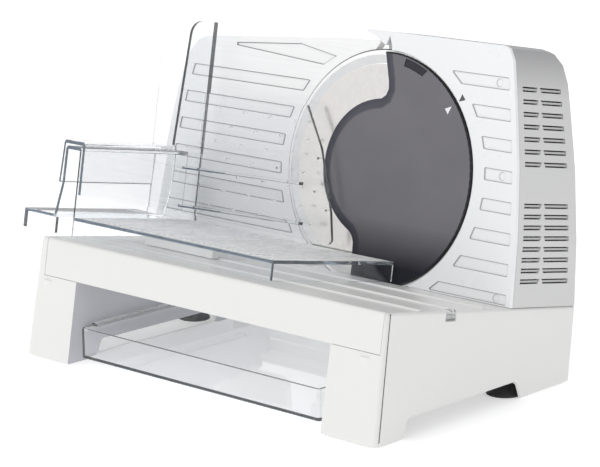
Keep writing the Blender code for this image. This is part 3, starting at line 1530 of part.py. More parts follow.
def make_food_holder():
    bm = bmesh.new()
    saddle = [
        (SKIRT_LOW_X + 0.6, SKIRT_LOW),
        (SKIRT_LOW_X, SKIRT_LOW + 0.8),
        (SKIRT_TOP_X, HOLDER_TOP - 1.5),
        (SKIRT_TOP_X + 1.5, HOLDER_TOP),
        (PANEL_X - 1.5, HOLDER_TOP),
        (PANEL_X, HOLDER_TOP - 1.5),
        (PANEL_X, PANEL_LOW_FRONT),
        (PANEL_X - SHEET, PANEL_LOW_FRONT),
        (PANEL_X - SHEET, HOLDER_TOP - SHEET),
        (SKIRT_TOP_X + SKIRT_THICKNESS, HOLDER_TOP - SHEET),
        (SKIRT_LOW_X + SKIRT_THICKNESS, SKIRT_LOW + 0.8),
        (SKIRT_LOW_X + SKIRT_THICKNESS - 0.4, SKIRT_LOW),
    ]
    add_prism(bm, saddle, HOLDER_FRONT, SKIRT_END)
    holder = solid("food_holder", bm, "clear_plastic", smooth=25)

    front = PRESS_BACK - SHEET
    panel = [
        (HOLDER_FRONT + 0.01, PANEL_LOW_FRONT),
        (PRESS_BACK - 0.2, PRESS_LOW + 1.5),
        (PRESS_BACK - 0.2, HOLDER_TOP - 0.2),
        (HOLDER_FRONT + 0.01, HOLDER_TOP - 1.8),
    ]
    bm = bmesh.new()
    add_prism(bm, panel, PANEL_X - SHEET, PANEL_X - 0.01, "yz")
    join(holder, helper("holder_panel", bm))

    press = rounded(
        [
            (PANEL_X - SHEET, HOLDER_TOP),
            (PANEL_X - SHEET, PRESS_LOW + 1.5),
            (6.5, PRESS_LOW),
            (9.0, PRESS_LOW + 3.0),
            (5.0, 42.6),
            (-10.8, 87.8),
            (-29.0, PRESS_TOP + 0.9),
            (PRESS_LEFT, PRESS_TOP - 1.2),
            (PRESS_LEFT, HOLDER_TOP),
        ],
        (0, 0, 1, 1.5, 12, 12, 1.5, 1, 0),
        3,
    )
    bm = bmesh.new()
    add_prism(bm, press, front, PRESS_BACK)
    join(holder, helper("press_plate", bm))

    bm = bmesh.new()
    for left_z, right_z, right_x in ((56.0, 60.0, -24.0), (26.6, 31.0, -20.0)):
        ledge = [
            (PANEL_X - 0.5, left_z - 1.1),
            (right_x, right_z - 1.1),
            (right_x, right_z + 1.1),
            (PANEL_X - 0.5, left_z + 1.1),
        ]
        add_prism(bm, ledge, front - 5, front + 0.6)
    join(holder, helper("press_ledges", bm))

    bm = bmesh.new()
    for row in range(7):
        z = 104.5 - row * SPIKE_ROW
        shift = 0.0 if row % 2 == 0 else SPIKE_COLUMN / 2
        limit = edge_at(((-29.0, PRESS_TOP), (-10.8, 87.8), (5.0, 42.6), (8.0, PRESS_LOW)), z) - 5
        x = -119.0 + shift
        while x < limit:
            base = circle((x, z), SPIKE_RADIUS, 6)
            point = circle((x, z), 0.25, 6)
            add_loft(bm, [(base, PRESS_BACK - 0.5), (base, PRESS_BACK), (point, PRESS_BACK + SPIKE_LENGTH)])
            x += SPIKE_COLUMN
    join(holder, helper("press_spikes", bm))


# Collecting tray

def make_tray():
    side = TRAY_HALF_WIDTH
    floor = rectangle((-side, TRAY_FRONT), (side, TRAY_BACK), 3, 3)
    bm = bmesh.new()
    add_loft(bm, [(inset(floor, 0.6), TRAY_BOTTOM), (floor, TRAY_BOTTOM + 1), (floor, TRAY_TOP)], "xy")
    tray = solid("collecting_tray", bm, "clear_plastic", FLOOR, smooth=25)
    bm = bmesh.new()
    for sign in (-1, 1):
        rim_end = LEG_INNER_X - RAIL_REACH + RIM_ON_RAIL
        span = sorted((sign * (side - 1), sign * rim_end))
        low = (span[0], TRAY_FRONT + 16, RAIL_HEIGHT + RAIL_THICKNESS + CLEARANCE)
        high = (span[1], TRAY_BACK - 10, TRAY_TOP - 0.02)
        add_box(bm, low, high)
    join(tray, helper("tray_rims", bm, FLOOR))
    bm = bmesh.new()
    room = inset(floor, TRAY_WALL)
    add_loft(bm, [(inset(room, 0.6), TRAY_BOTTOM + TRAY_WALL), (room, TRAY_TOP + 3)], "xy")
    cut(tray, helper("tray_inside", bm, FLOOR))


def make_gland():
    flange = GLAND_RADIUS + 1.5
    hub = GLAND_RADIUS - 1.5
    profile = [
        (GLAND_BORE, -6.0),
        (GLAND_BORE, 6.0),
        (GLAND_RADIUS - 1.0, 6.0),
        (flange, 5.0),
        (flange, CLEARANCE),
        (hub, CLEARANCE),
        (hub, -5.0),
        (hub - 1, -6.0),
    ]
    bm = bmesh.new()
    add_turned(bm, list(reversed(profile)), 18)
    solid("cable_inlet", bm, "black_rubber", FLOOR, (GLAND_X, GLAND_Y, GLAND_Z), FACING_HEEL)


make_base()
make_feet()
make_deck()
make_catch()
make_front_plate()
make_motor_housing()
make_bearing_plate()
make_blade()
make_drive_gear()
make_worm()
make_fan()
make_motor()
make_motor_bracket()
make_blade_cover()
make_stop_plate()
make_thickness_control()
make_buttons()
make_carriage()
make_carriage_guide()
make_food_holder()
make_tray()
make_gland()
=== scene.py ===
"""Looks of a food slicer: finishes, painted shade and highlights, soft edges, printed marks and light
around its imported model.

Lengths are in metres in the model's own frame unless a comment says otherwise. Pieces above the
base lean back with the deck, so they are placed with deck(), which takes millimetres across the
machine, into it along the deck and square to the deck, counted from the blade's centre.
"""

import json
from math import cos, pi, radians, sin

import bmesh
import bpy
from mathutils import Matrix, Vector


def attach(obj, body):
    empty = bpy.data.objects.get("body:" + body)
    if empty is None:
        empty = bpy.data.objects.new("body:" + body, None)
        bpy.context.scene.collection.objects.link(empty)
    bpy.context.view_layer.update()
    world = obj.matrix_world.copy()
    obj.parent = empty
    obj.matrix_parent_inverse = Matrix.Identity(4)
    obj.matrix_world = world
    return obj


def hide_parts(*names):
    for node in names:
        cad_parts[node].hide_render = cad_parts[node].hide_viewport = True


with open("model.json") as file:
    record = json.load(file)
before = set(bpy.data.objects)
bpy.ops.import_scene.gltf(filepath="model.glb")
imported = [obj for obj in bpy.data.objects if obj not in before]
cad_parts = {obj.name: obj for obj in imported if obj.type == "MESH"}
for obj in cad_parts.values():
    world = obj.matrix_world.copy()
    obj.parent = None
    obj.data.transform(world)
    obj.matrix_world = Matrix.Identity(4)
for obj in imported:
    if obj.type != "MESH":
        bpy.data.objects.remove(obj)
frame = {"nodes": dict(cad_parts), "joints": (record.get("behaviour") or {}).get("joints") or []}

NODES = frame["nodes"]
JOINTS = {joint["name"]: joint for joint in frame["joints"]}
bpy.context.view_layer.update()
MM = 0.001

# The deck's directions and the blade's centre, read from the blade's joint
BLADE_CENTRE = Vector(JOINTS["blade_spin"]["pos_m"])
INTO = Vector(JOINTS["blade_spin"]["axis"])
ACROSS = Vector((1.0, 0.0, 0.0))
UPWARD = ACROSS.cross(INTO)


def deck(across, into, up):
    """A point given in millimetres from the blade's centre, in the leaning deck's directions."""
    return BLADE_CENTRE + (ACROSS * across + INTO * into + UPWARD * up) * MM


def map_range(tree, value, result, span):
    """Takes a value that goes through a span to a result that goes from its first to its second."""
    node = tree.nodes.new("ShaderNodeMapRange")
    node.inputs["From Min"].default_value, node.inputs["From Max"].default_value = span
    node.inputs["To Min"].default_value, node.inputs["To Max"].default_value = result
    tree.links.new(value, node.inputs["Value"])
    return node.outputs[0]


# Camera, light and floor

# The camera that took the reference view, for a picture 600 wide and 467 high. The azimuth is its
# turn to the left from straight into the machine and the elevation its look down, in degrees. The
# lens and the sensor are in millimetres.
CAMERA_PLACE = (1.15447, -1.24976, 0.4839)
CAMERA_AZIMUTH = 42.39
CAMERA_ELEVATION = 12.85
CAMERA_LENS = 144.06
SENSOR_WIDTH = 36.0
CAMERA_REACH = 60.0

# The sky's colours by height, from the horizon at 0 to overhead at 1
SKY_COLOURS = (
    (0.0, (0.60, 0.61, 0.64)),
    (0.12, (0.78, 0.79, 0.81)),
    (0.4, (1, 1, 1)),
    (0.75, (0.85, 0.85, 0.86)),
    (1.0, (0.62, 0.62, 0.63)),
)
# The sky's strength to the machine's left and right, and the sideways directions between which it
# changes
SKY_STRENGTH = (0.98, 0.56)
SKY_SPAN = (-0.2, 0.9)

# Name, place, width and length, watts and colour
SOFTBOXES = (
    ("key", (-0.75, -1.5, 1.5), (1.3, 1.0), 8.0, (1.0, 0.99, 0.97)),
    ("fill", (1.6, -0.6, 0.9), (0.9, 0.9), 3.0, (0.97, 0.98, 1.0)),
)
SOFTBOX_TARGET = (0, 0, 0.12)

FLOOR_REACH = 14.0
# The pale table is lit a little from below
FLOOR_LOOK = {
    "Base Color": (0.97, 0.97, 0.97, 1),
    "Roughness": 0.7,
    "Specular IOR Level": 0.2,
    "Emission Color": (1, 1, 1, 1),
    "Emission Strength": 0.38,
}


def make_camera():
    data = bpy.data.cameras.new("camera")
    data.lens = CAMERA_LENS
    data.sensor_width = SENSOR_WIDTH
    data.clip_end = CAMERA_REACH
    camera = bpy.data.objects.new("camera", data)
    camera.location = CAMERA_PLACE
    camera.rotation_euler = (radians(90 - CAMERA_ELEVATION), 0, radians(CAMERA_AZIMUTH))
    bpy.context.scene.collection.objects.link(camera)
    bpy.context.scene.camera = camera


def make_softbox(name, place, size, power, colour):
    data = bpy.data.lights.new(name, "AREA")
    data.shape = "RECTANGLE"
    data.size, data.size_y = size
    data.energy = power
    data.color = colour
    light = bpy.data.objects.new(name, data)
    light.location = place
    aim = Vector(SOFTBOX_TARGET) - Vector(place)
    light.rotation_euler = aim.to_track_quat("-Z", "Y").to_euler()
    bpy.context.scene.collection.objects.link(light)


def make_world():
    """Bright overcast dome, a little darker at the horizon and to the machine's right."""
    world = bpy.data.worlds.new("studio")
    bpy.context.scene.world = world
    world.use_nodes = True
    tree = world.node_tree
    tree.nodes.clear()
    place = tree.nodes.new("ShaderNodeTexCoord")
    parts = tree.nodes.new("ShaderNodeSeparateXYZ")
    ramp = tree.nodes.new("ShaderNodeValToRGB")
    shade = tree.nodes.new("ShaderNodeBackground")
    out = tree.nodes.new("ShaderNodeOutputWorld")
    strength = map_range(tree, parts.outputs["X"], SKY_STRENGTH, SKY_SPAN)
    tree.links.new(place.outputs["Generated"], parts.inputs[0])
    tree.links.new(parts.outputs["Z"], ramp.inputs[0])
    tree.links.new(ramp.outputs[0], shade.inputs[0])
    tree.links.new(strength, shade.inputs["Strength"])
    tree.links.new(shade.outputs[0], out.inputs[0])
    lowest, *between, highest = SKY_COLOURS
    elements = ramp.color_ramp.elements
    for element, (position, colour) in zip(elements, (lowest, highest)):
        element.position = position
        element.color = (*colour, 1)
    for position, colour in between:
        elements.new(position).color = (*colour, 1)


def make_floor():
    bm = bmesh.new()
    bmesh.ops.create_grid(bm, x_segments=1, y_segments=1, size=FLOOR_REACH)
    mesh = bpy.data.meshes.new("floor")
    bm.to_mesh(mesh)
    bm.free()
    floor = bpy.data.objects.new("floor", mesh)
    bpy.context.scene.collection.objects.link(floor)
    made = bpy.data.materials.new("pale_floor")
    made.use_nodes = True
    shader = made.node_tree.nodes["Principled BSDF"]
    for socket, value in FLOOR_LOOK.items():
        shader.inputs[socket].default_value = value
    mesh.materials.append(made)


# Materials

RISING = (0.0, 1.0)
FALLING = (1.0, 0.0)
# The values that a noise mostly stays between
NOISE_SPAN = (0.3, 0.7)
# The sockets of a node that mixes two colours
MIX_AMOUNT = 0
MIX_FIRST = 6
MIX_SECOND = 7
MIX_RESULT = 2


class Surface:
    """One material with its Principled shader, and helpers that wire textures into it."""

    def __init__(self, name, colour, roughness, metallic=0.0):
        self.made = bpy.data.materials.new(name)
        self.made.use_nodes = True
        self.tree = self.made.node_tree
        self.nodes = self.tree.nodes
        self.links = self.tree.links
        self.shader = self.nodes["Principled BSDF"]
        self.roughness = roughness
        self.set("Base Color", (*colour, 1.0))
        self.set("Roughness", roughness)
        self.set("Metallic", metallic)
        self.place = self.nodes.new("ShaderNodeTexCoord")

    def set(self, socket, value):
        self.shader.inputs[socket].default_value = value

    def noise(self, size, detail, stretch=(1, 1, 1)):
        """Noise whose features are size metres wide, stretched along each axis."""
        mapping = self.nodes.new("ShaderNodeMapping")
        mapping.inputs["Scale"].default_value = [1 / (size * value) for value in stretch]
        texture = self.nodes.new("ShaderNodeTexNoise")
        texture.inputs["Scale"].default_value = 1.0
        texture.inputs["Detail"].default_value = detail
        self.links.new(self.place.outputs["Object"], mapping.inputs["Vector"])
        self.links.new(mapping.outputs[0], texture.inputs["Vector"])
        return texture.outputs[0]

    def spread(self, value, result, span=NOISE_SPAN):
        return map_range(self.tree, value, result, span)

    def geometry(self, kind):
        """The Position or the Normal of the shaded point in the scene."""
        return self.nodes.new("ShaderNodeNewGeometry").outputs[kind]

    def measure(self, operation, vector, other):
        """The dot product or the distance between a vector and a fixed one."""
        node = self.nodes.new("ShaderNodeVectorMath")
        node.operation = operation
        node.inputs[1].default_value = other
        self.links.new(vector, node.inputs[0])
        return node.outputs["Value"]

    def combine(self, operation, *values):
        node = self.nodes.new("ShaderNodeMath")
        node.operation = operation
        for value, socket in zip(values, node.inputs):
            self.links.new(value, socket)
        return node.outputs[0]

    def blend(self, amount, shade, first=None):
        """Turns the base colour towards a shade, from a first colour or from what it was."""
        base = self.shader.inputs["Base Color"]
        mix = self.nodes.new("ShaderNodeMix")
        mix.data_type = "RGBA"
        mix.inputs[MIX_SECOND].default_value = (*shade, 1)
        if first:
            mix.inputs[MIX_FIRST].default_value = (*first, 1)
        else:
            self.links.new(base.links[0].from_socket, mix.inputs[MIX_FIRST])
        self.links.new(amount, mix.inputs[MIX_AMOUNT])
        self.links.new(mix.outputs[MIX_RESULT], base)

    def tint(self, value, first, second):
        """Base colour that runs from the first to the second with a noise."""
        self.blend(self.spread(value, RISING), second, first)

    def vary_roughness(self, value, amount):
        rough = self.spread(value, (self.roughness - amount, self.roughness + amount))
        self.links.new(rough, self.shader.inputs["Roughness"])

    def bump(self, value, strength, depth):
        node = self.nodes.new("ShaderNodeBump")
        node.inputs["Strength"].default_value = strength
        node.inputs["Distance"].default_value = depth
        self.links.new(value, node.inputs["Height"])
        self.links.new(node.outputs[0], self.shader.inputs["Normal"])


# Painted shade that follows a piece's shape

# Shallow pockets: how far the painted shade of their corners reaches, and the share of open
# surroundings over which it fades
POCKET_REACH = 0.0016
POCKET_FADE = (0.35, 0.95)
POCKET_SAMPLES = 8
# A slope's painted shade fades out towards faces level with the upright plates and towards faces
# square to them, by how much a face points the way the plates do
LEVEL_FADE = (0.75, 0.97)
SQUARE_FADE = (0.2, 0.4)
# The left leg's inner wall, with painted shade: how much its faces point to the right, and where
# they lie across
WALL_FACING = (0.55, 0.8)
WALL_PLACE = (-0.105, -0.095)


def scaled(colour, factor):
    return tuple(min(1.0, channel * factor) for channel in colour)


def shade_corners(surface, shade):
    """Paints shade into the inner corners of shallow pockets."""
    hollow = surface.nodes.new("ShaderNodeAmbientOcclusion")
    hollow.only_local = True
    hollow.samples = POCKET_SAMPLES
    hollow.inputs["Distance"].default_value = POCKET_REACH
    surface.blend(surface.spread(hollow.outputs["AO"], FALLING, POCKET_FADE), shade)


def shade_slopes(surface, shade):
    """Paints shade on faces that slant between the upright plates' front and their edges."""
    facing = surface.measure("DOT_PRODUCT", surface.geometry("Normal"), INTO)
    size = surface.combine("ABSOLUTE", facing)
    sloped = surface.spread(size, FALLING, LEVEL_FADE)
    not_square = surface.spread(size, RISING, SQUARE_FADE)
    surface.blend(surface.combine("MULTIPLY", sloped, not_square), shade)


def shade_pockets(surface, shades):
    corner_shade, slope_shade = shades
    shade_corners(surface, corner_shade)
    shade_slopes(surface, slope_shade)


def shade_inner_wall(surface, shade):
    """Paints shade on the faces left of the middle that look right, which are the left leg's inner wall.
    """
    facing = surface.measure("DOT_PRODUCT", surface.geometry("Normal"), ACROSS)
    place = surface.measure("DOT_PRODUCT", surface.geometry("Position"), ACROSS)
    looks_right = surface.spread(facing, RISING, WALL_FACING)
    lies_left = surface.spread(place, FALLING, WALL_PLACE)
    surface.blend(surface.combine("MULTIPLY", looks_right, lies_left), shade)


def shade_along(surface, direction, start, full, shade, strength=1.0, spot=None):
    """Paints light and shade: turns the base colour towards a shade between two distances along a
    direction.

    The distances are in millimetres from the blade's centre. The spot is the place that is
    measured, and is the shaded point in the scene unless another is given.
    """
    if spot is None:
        spot = surface.geometry("Position")
    base = BLADE_CENTRE.dot(direction)
    ends = sorted((base + start * MM, base + full * MM))
    amounts = (0.0, strength) if start < full else (strength, 0.0)
    distance = surface.measure("DOT_PRODUCT", spot, direction)
    surface.blend(surface.spread(distance, amounts, ends), shade)


# Finishes

# Widths of the features of the plastics' noises, and how much they change the surface
CLOUD_SIZE = 0.035
GLOSS_SIZE = 0.03
GLOSS_CHANGE = 0.012
GRAIN_SIZE = 0.0004
GRAIN_STRENGTH = 0.3
GRAIN_DEPTH = 0.000004
PLASTIC_IOR = 1.5

# The same for brushed metals, and how far their lines stretch along each axis
BRUSH_SIZE = 0.0004
BRUSH_GLOSS_SIZE = 0.0005
BRUSH_GLOSS_CHANGE = 0.06
BRUSH_STRENGTH = 0.22
BRUSH_DEPTH = 0.00002
BRUSH_DARKEST = 0.955
BRUSH_LIGHTEST = 1.03
ACROSS_LINES = (90, 1, 1)
TURNED_LINES = (1, 20, 20)
ZINC_SPECKS = (6, 6, 6)
BRONZE_SPECKS = (3, 3, 3)
FINE_SPECKS = (1, 1, 1)

# An index under the real plastic's and a touch of transparency keep the clear walls light
CLEAR_IOR = 1.42
CLEAR_ALPHA = 0.97
CLEAR_DEPTH_COLOUR = (0.50, 0.64, 0.76, 1)
CLEAR_DEPTH_DENSITY = 6.0
# What shadow and diffuse rays keep on their way through
PASSING_COLOUR = (0.985, 0.99, 0.995, 1)

WHITE_PLASTIC = (0.80, 0.80, 0.785)
# Painted shade on the left leg's inner wall
WALL_SHADE = (0.53, 0.525, 0.56)
# The painted shades of a pocket's corners and of its slopes
PLATE_POCKET_SHADES = ((0.38, 0.39, 0.40), (0.40, 0.41, 0.42))
STOP_POCKET_SHADES = ((0.22, 0.22, 0.23), (0.25, 0.25, 0.265))

# Painted shade where the housing curves in at its top: start and full height in millimetres over
# the blade's centre, shade and strength
HOUSING_TOP_SHADE = (66.0, 97.0, (0.36, 0.36, 0.365), 0.85)

# The cover's face before the blade's centre. Its painted shade and dark reflection go from the face
# down the slopes, and down to its foot: direction, start and full distance in millimetres, shade
# and strength.
COVER_FACE = -3.1
COVER_SHADES = (
    (INTO, COVER_FACE, COVER_FACE + 0.35, (0.078, 0.077, 0.096), 0.95),
    (INTO, COVER_FACE + 0.6, COVER_FACE + 1.7, (0.03, 0.03, 0.05), 0.6),
    (UPWARD, -34.0, -67.0, (0.012, 0.012, 0.02), 1.0),
)

# Painted reflection: the blade is warm inside the step near its rim and cooler on the ring outside
BLADE_WARM_REFLECTION = (0.95, 0.92, 0.88)
BLADE_COOL_REFLECTION = (0.90, 0.895, 0.885)
BLADE_TURNS_COOL = (76.2 * MM, 77.2 * MM)

# Painted light: the frosting turns from a greyed to a full white between these places across, in
# millimetres
FROST_GREY = (0.88, 0.885, 0.91)
FROST_WHITE = (1.0, 1.0, 1.0)
FROST_PAINTED_LIGHT = (-130.0, -40.0)
# How much the streaks and the dots between them cover
STREAK_COVER = (0.55, 0.85)
DOT_COVER = (0.75, 1.0)


def fine_plastic(name, colour, roughness, dark, light):
    """Plastic with faint clouds between two colours, uneven gloss and the fine grain of the tool."""
    surface = Surface(name, colour, roughness)
    surface.tint(surface.noise(CLOUD_SIZE, 3.0), dark, light)
    surface.vary_roughness(surface.noise(GLOSS_SIZE, 2.0), GLOSS_CHANGE)
    surface.bump(surface.noise(GRAIN_SIZE, 3.0), GRAIN_STRENGTH, GRAIN_DEPTH)
    return surface


def moulded(name, colour, roughness, mottle=0.004, pockets=None, inner=None):
    """Moulded plastic whose clouds differ from its colour by the mottle's share."""
    dark, light = scaled(colour, 1 - mottle), scaled(colour, 1 + mottle)
    surface = fine_plastic(name, colour, roughness, dark, light)
    surface.set("IOR", PLASTIC_IOR)
    if pockets:
        shade_pockets(surface, pockets)
    if inner:
        shade_inner_wall(surface, inner)
    return surface.made


def brushed_metal(name, colour, roughness, stretch, metallic=1.0, pockets=None):
    """Metal with fine lines, stretched along each axis."""
    surface = Surface(name, colour, roughness, metallic)
    lines = surface.noise(BRUSH_SIZE, 4.0, stretch)
    surface.tint(lines, scaled(colour, BRUSH_DARKEST), scaled(colour, BRUSH_LIGHTEST))
    surface.vary_roughness(surface.noise(BRUSH_GLOSS_SIZE, 3.0, stretch), BRUSH_GLOSS_CHANGE)
    surface.bump(lines, BRUSH_STRENGTH, BRUSH_DEPTH)
    if pockets:
        shade_pockets(surface, pockets)
    return surface.made


def rubber_finish():
    colour = (0.022, 0.022, 0.023)
    dark, light = scaled(colour, 0.7), scaled(colour, 1.5)
    surface = Surface("black_rubber_matt", colour, roughness=0.7)
    surface.tint(surface.noise(size=0.004, detail=5.0), dark, light)
    surface.vary_roughness(surface.noise(size=0.006, detail=4.0), amount=0.08)
    surface.bump(surface.noise(size=0.0005, detail=4.0), strength=0.5, depth=0.00006)
    return surface.made


def let_light_through(surface):
    """Lets shadow and diffuse rays pass, so that clear plastic casts only faint shadows."""
    rays = surface.nodes.new("ShaderNodeLightPath")
    either = surface.combine("MAXIMUM", rays.outputs["Is Shadow Ray"], rays.outputs["Is Diffuse Ray"])
    passing = surface.nodes.new("ShaderNodeBsdfTransparent")
    passing.inputs["Color"].default_value = PASSING_COLOUR
    mix = surface.nodes.new("ShaderNodeMixShader")
    surface.links.new(either, mix.inputs[0])
    surface.links.new(surface.shader.outputs[0], mix.inputs[1])
    surface.links.new(passing.outputs[0], mix.inputs[2])
    surface.links.new(mix.outputs[0], surface.nodes["Material Output"].inputs["Surface"])


def clear_finish():
    """Clear styrene-like plastic, blue-grey through its depth."""
    surface = Surface("clear_plastic_polished", (0.995, 0.998, 1.0), roughness=0.012)
    surface.set("Transmission Weight", 1.0)
    surface.set("IOR", CLEAR_IOR)
    surface.set("Alpha", CLEAR_ALPHA)
    surface.vary_roughness(surface.noise(size=0.02, detail=3.0), amount=0.006)
    absorb = surface.nodes.new("ShaderNodeVolumeAbsorption")
    absorb.inputs["Color"].default_value = CLEAR_DEPTH_COLOUR
    absorb.inputs["Density"].default_value = CLEAR_DEPTH_DENSITY
    surface.links.new(absorb.outputs[0], surface.nodes["Material Output"].inputs["Volume"])
    let_light_through(surface)
    return surface.made


def edge_finish():
    """Painted blue-grey where clear plastic's cut edges face the viewer: its depth's tint and refraction.
    """
    dark, light = (0.13, 0.165, 0.205), (0.20, 0.245, 0.295)
    surface = Surface("clear_plastic_edge_painted", (0.16, 0.20, 0.245), roughness=0.22)
    surface.tint(surface.noise(size=0.004, detail=3.0), dark, light)
    surface.set("Alpha", 0.82)
    return surface.made


def frosting_finish():
    """Fine frosted streaks of the carriage's ribbed table, with painted light towards its right."""
    surface = Surface("clear_table_ribbing", (0.93, 0.935, 0.95), roughness=0.45)
    streaks = surface.noise(size=0.0016, detail=3.0, stretch=(1, 14, 4))
    surface.tint(streaks, FROST_GREY, FROST_WHITE)
    shade_along(surface, ACROSS, *FROST_PAINTED_LIGHT, FROST_WHITE, spot=surface.place.outputs["Object"])
    streaked = surface.spread(streaks, STREAK_COVER)
    dotted = surface.spread(surface.noise(size=0.003, detail=2.0), DOT_COVER)
    surface.links.new(surface.combine("MULTIPLY", streaked, dotted), surface.shader.inputs["Alpha"])
    let_light_through(surface)
    return surface.made


def cover_finish():
    """Dark metallic plastic with painted shade and dark reflection on the cover's slopes and foot."""
    dark, light = (0.168, 0.163, 0.178), (0.182, 0.177, 0.192)
    surface = Surface("cover_plastic_dark", (0.175, 0.17, 0.185), roughness=0.38, metallic=0.55)
    surface.tint(surface.noise(size=0.03, detail=3.0), dark, light)
    surface.vary_roughness(surface.noise(size=0.006, detail=4.0), amount=0.03)
    for shade in COVER_SHADES:
        shade_along(surface, *shade)
    return surface.made


def housing_finish():
    """Grey plastic with a little painted shade where the housing curves in at its top."""
    dark, light = (0.657, 0.657, 0.652), (0.663, 0.663, 0.658)
    colour, roughness = (0.66, 0.66, 0.655), 0.38
    surface = fine_plastic("housing_plastic_satin", colour, roughness, dark, light)
    shade_along(surface, UPWARD, *HOUSING_TOP_SHADE)
    return surface.made


def blade_finish():
    """Ground steel with painted reflection: warm in the middle, cooler on the ring outside the shallow
    step.
    """
    surface = Surface("blade_steel_ground", BLADE_WARM_REFLECTION, roughness=0.24, metallic=1.0)
    reach = surface.measure("DISTANCE", surface.geometry("Position"), BLADE_CENTRE)
    surface.blend(surface.spread(reach, RISING, BLADE_TURNS_COOL), BLADE_COOL_REFLECTION, BLADE_WARM_REFLECTION)
    surface.vary_roughness(surface.noise(size=0.004, detail=3.0), amount=0.03)
    return surface.made


def make_materials():
    """Every finish by its short name, most with their material's name, colour and roughness."""
    return {
        # White plastic with painted shade on the left leg's inner wall
        "white": moulded("white_plastic_satin", WHITE_PLASTIC, 0.33, inner=WALL_SHADE),
        "deck": moulded("deck_plastic_satin", WHITE_PLASTIC, 0.30),
        "plate": moulded(
            "plate_plastic_satin",
            (0.885, 0.893, 0.90),
            0.28,
            mottle=0.001,
            pockets=PLATE_POCKET_SHADES,
        ),
        "housing": housing_finish(),
        "cover": cover_finish(),
        "stop": brushed_metal(
            "stop_plate_brushed",
            (0.93, 0.93, 0.93),
            0.45,
            ACROSS_LINES,
            metallic=0.3,
            pockets=STOP_POCKET_SHADES,
        ),
        "blade": blade_finish(),
        "steel": brushed_metal("shaft_steel_turned", (0.62, 0.63, 0.65), 0.27, TURNED_LINES),
        "zinc": brushed_metal("zinc_plated_steel", (0.58, 0.585, 0.60), 0.38, ZINC_SPECKS),
        "bronze": brushed_metal("sintered_bronze", (0.55, 0.36, 0.16), 0.42, BRONZE_SPECKS),
        "nylon": moulded("nylon_natural", (0.86, 0.86, 0.84), 0.45, mottle=0.02),
        "black": moulded("black_plastic_fine", (0.03, 0.03, 0.033), 0.42, mottle=0.1),
        "rubber": rubber_finish(),
        "clear": clear_finish(),
        # Painted blue-grey for the clear parts' cut edges
        "edge": edge_finish(),
        "frosting": frosting_finish(),
        "vane": moulded("vent_vane_grey", (0.50, 0.50, 0.50), 0.5),
        # Painted shade on the ends of the stop plate's pockets
        "pocket_shade_line": moulded("pocket_side_painted_shade", (0.28, 0.285, 0.30), 0.5),
        # Painted highlight on the blade's ground bevel
        "ground_edge": brushed_metal(
            "blade_edge_painted_highlight", (0.98, 0.98, 0.98), 0.25, FINE_SPECKS, metallic=0.12
        ),
        "print_white": moulded("print_white", (0.86, 0.86, 0.88), 0.5),
        "print_grey": moulded("print_grey", (0.085, 0.08, 0.085), 0.5),
        # Painted shade on the cover's rim side and on the floor of its slot
        "rim_black": moulded("cover_rim_painted_shade", (0.003, 0.003, 0.004), 0.45),
        "slot_dark": moulded("cover_slot_painted_shade", (0.009, 0.009, 0.018), 0.45),
        # Dark seam, also used as the painted shadow ring behind the blade
        "seam": moulded("seam_shadow", (0.11, 0.11, 0.115), 0.6),
    }


SLOT_FINISHES = {
    "white_plastic": "white",
    "deck_plastic": "deck",
    "plate_plastic": "plate",
    "housing_plastic": "housing",
    "stop_metal": "stop",
    "cover_plastic": "cover",
    "blade_steel": "blade",
    "shaft_steel": "steel",
    "clear_plastic": "clear",
    "black_rubber": "rubber",
    "black_plastic": "black",
    "nylon": "nylon",
    "bronze": "bronze",
    "zinc_steel": "zinc",
}


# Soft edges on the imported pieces

# The edges' rounding in millimetres, and the rounding of the pieces not named
EDGE_ROUND = {
    "base_housing": 0.18,
    "deck_cover": 0.3,
    "front_plate": 0.3,
    "motor_housing": 0.5,
    "stop_plate": 0.3,
    "blade_cover": 0.25,
    "blade": 0.04,
    "carriage": 0.15,
    "food_holder": 0.15,
    "collecting_tray": 0.25,
    "carriage_catch": 0.15,
    "drive_gear": 0.12,
    "worm": 0.08,
}
USUAL_ROUND = 0.25
ROUND_STEPS = 2
SHARP_ANGLE = radians(32)
WELD_REACH = 2e-6
FLAT_ANGLE = radians(0.4)
# Pieces whose facets stay as packed, where the others' level facets are joined first
KEPT_FACETS = {"base_housing"}


def smoothing_nodes():
    """Geometry nodes that shade a mesh smooth except across its sharp edges."""
    tree = bpy.data.node_groups.new("shade_by_angle", "GeometryNodeTree")
    tree.interface.new_socket("Geometry", in_out="INPUT", socket_type="NodeSocketGeometry")
    tree.interface.new_socket("Geometry", in_out="OUTPUT", socket_type="NodeSocketGeometry")
    start = tree.nodes.new("NodeGroupInput")
    end = tree.nodes.new("NodeGroupOutput")
    forget = tree.nodes.new("GeometryNodeRemoveAttribute")
    forget.inputs["Name"].default_value = "custom_normal"
    faces = tree.nodes.new("GeometryNodeSetShadeSmooth")
    faces.domain = "FACE"
    edges = tree.nodes.new("GeometryNodeSetShadeSmooth")
    edges.domain = "EDGE"
    angle = tree.nodes.new("GeometryNodeInputMeshEdgeAngle")
    compare = tree.nodes.new("FunctionNodeCompare")
    compare.operation = "LESS_EQUAL"
    compare.inputs[1].default_value = SHARP_ANGLE
    links = tree.links
    links.new(start.outputs[0], forget.inputs[0])
    links.new(forget.outputs[0], faces.inputs[0])
    links.new(faces.outputs[0], edges.inputs[0])
    links.new(edges.outputs[0], end.inputs[0])
    links.new(angle.outputs["Unsigned Angle"], compare.inputs[0])
    links.new(compare.outputs[0], edges.inputs["Shade Smooth"])
    return tree


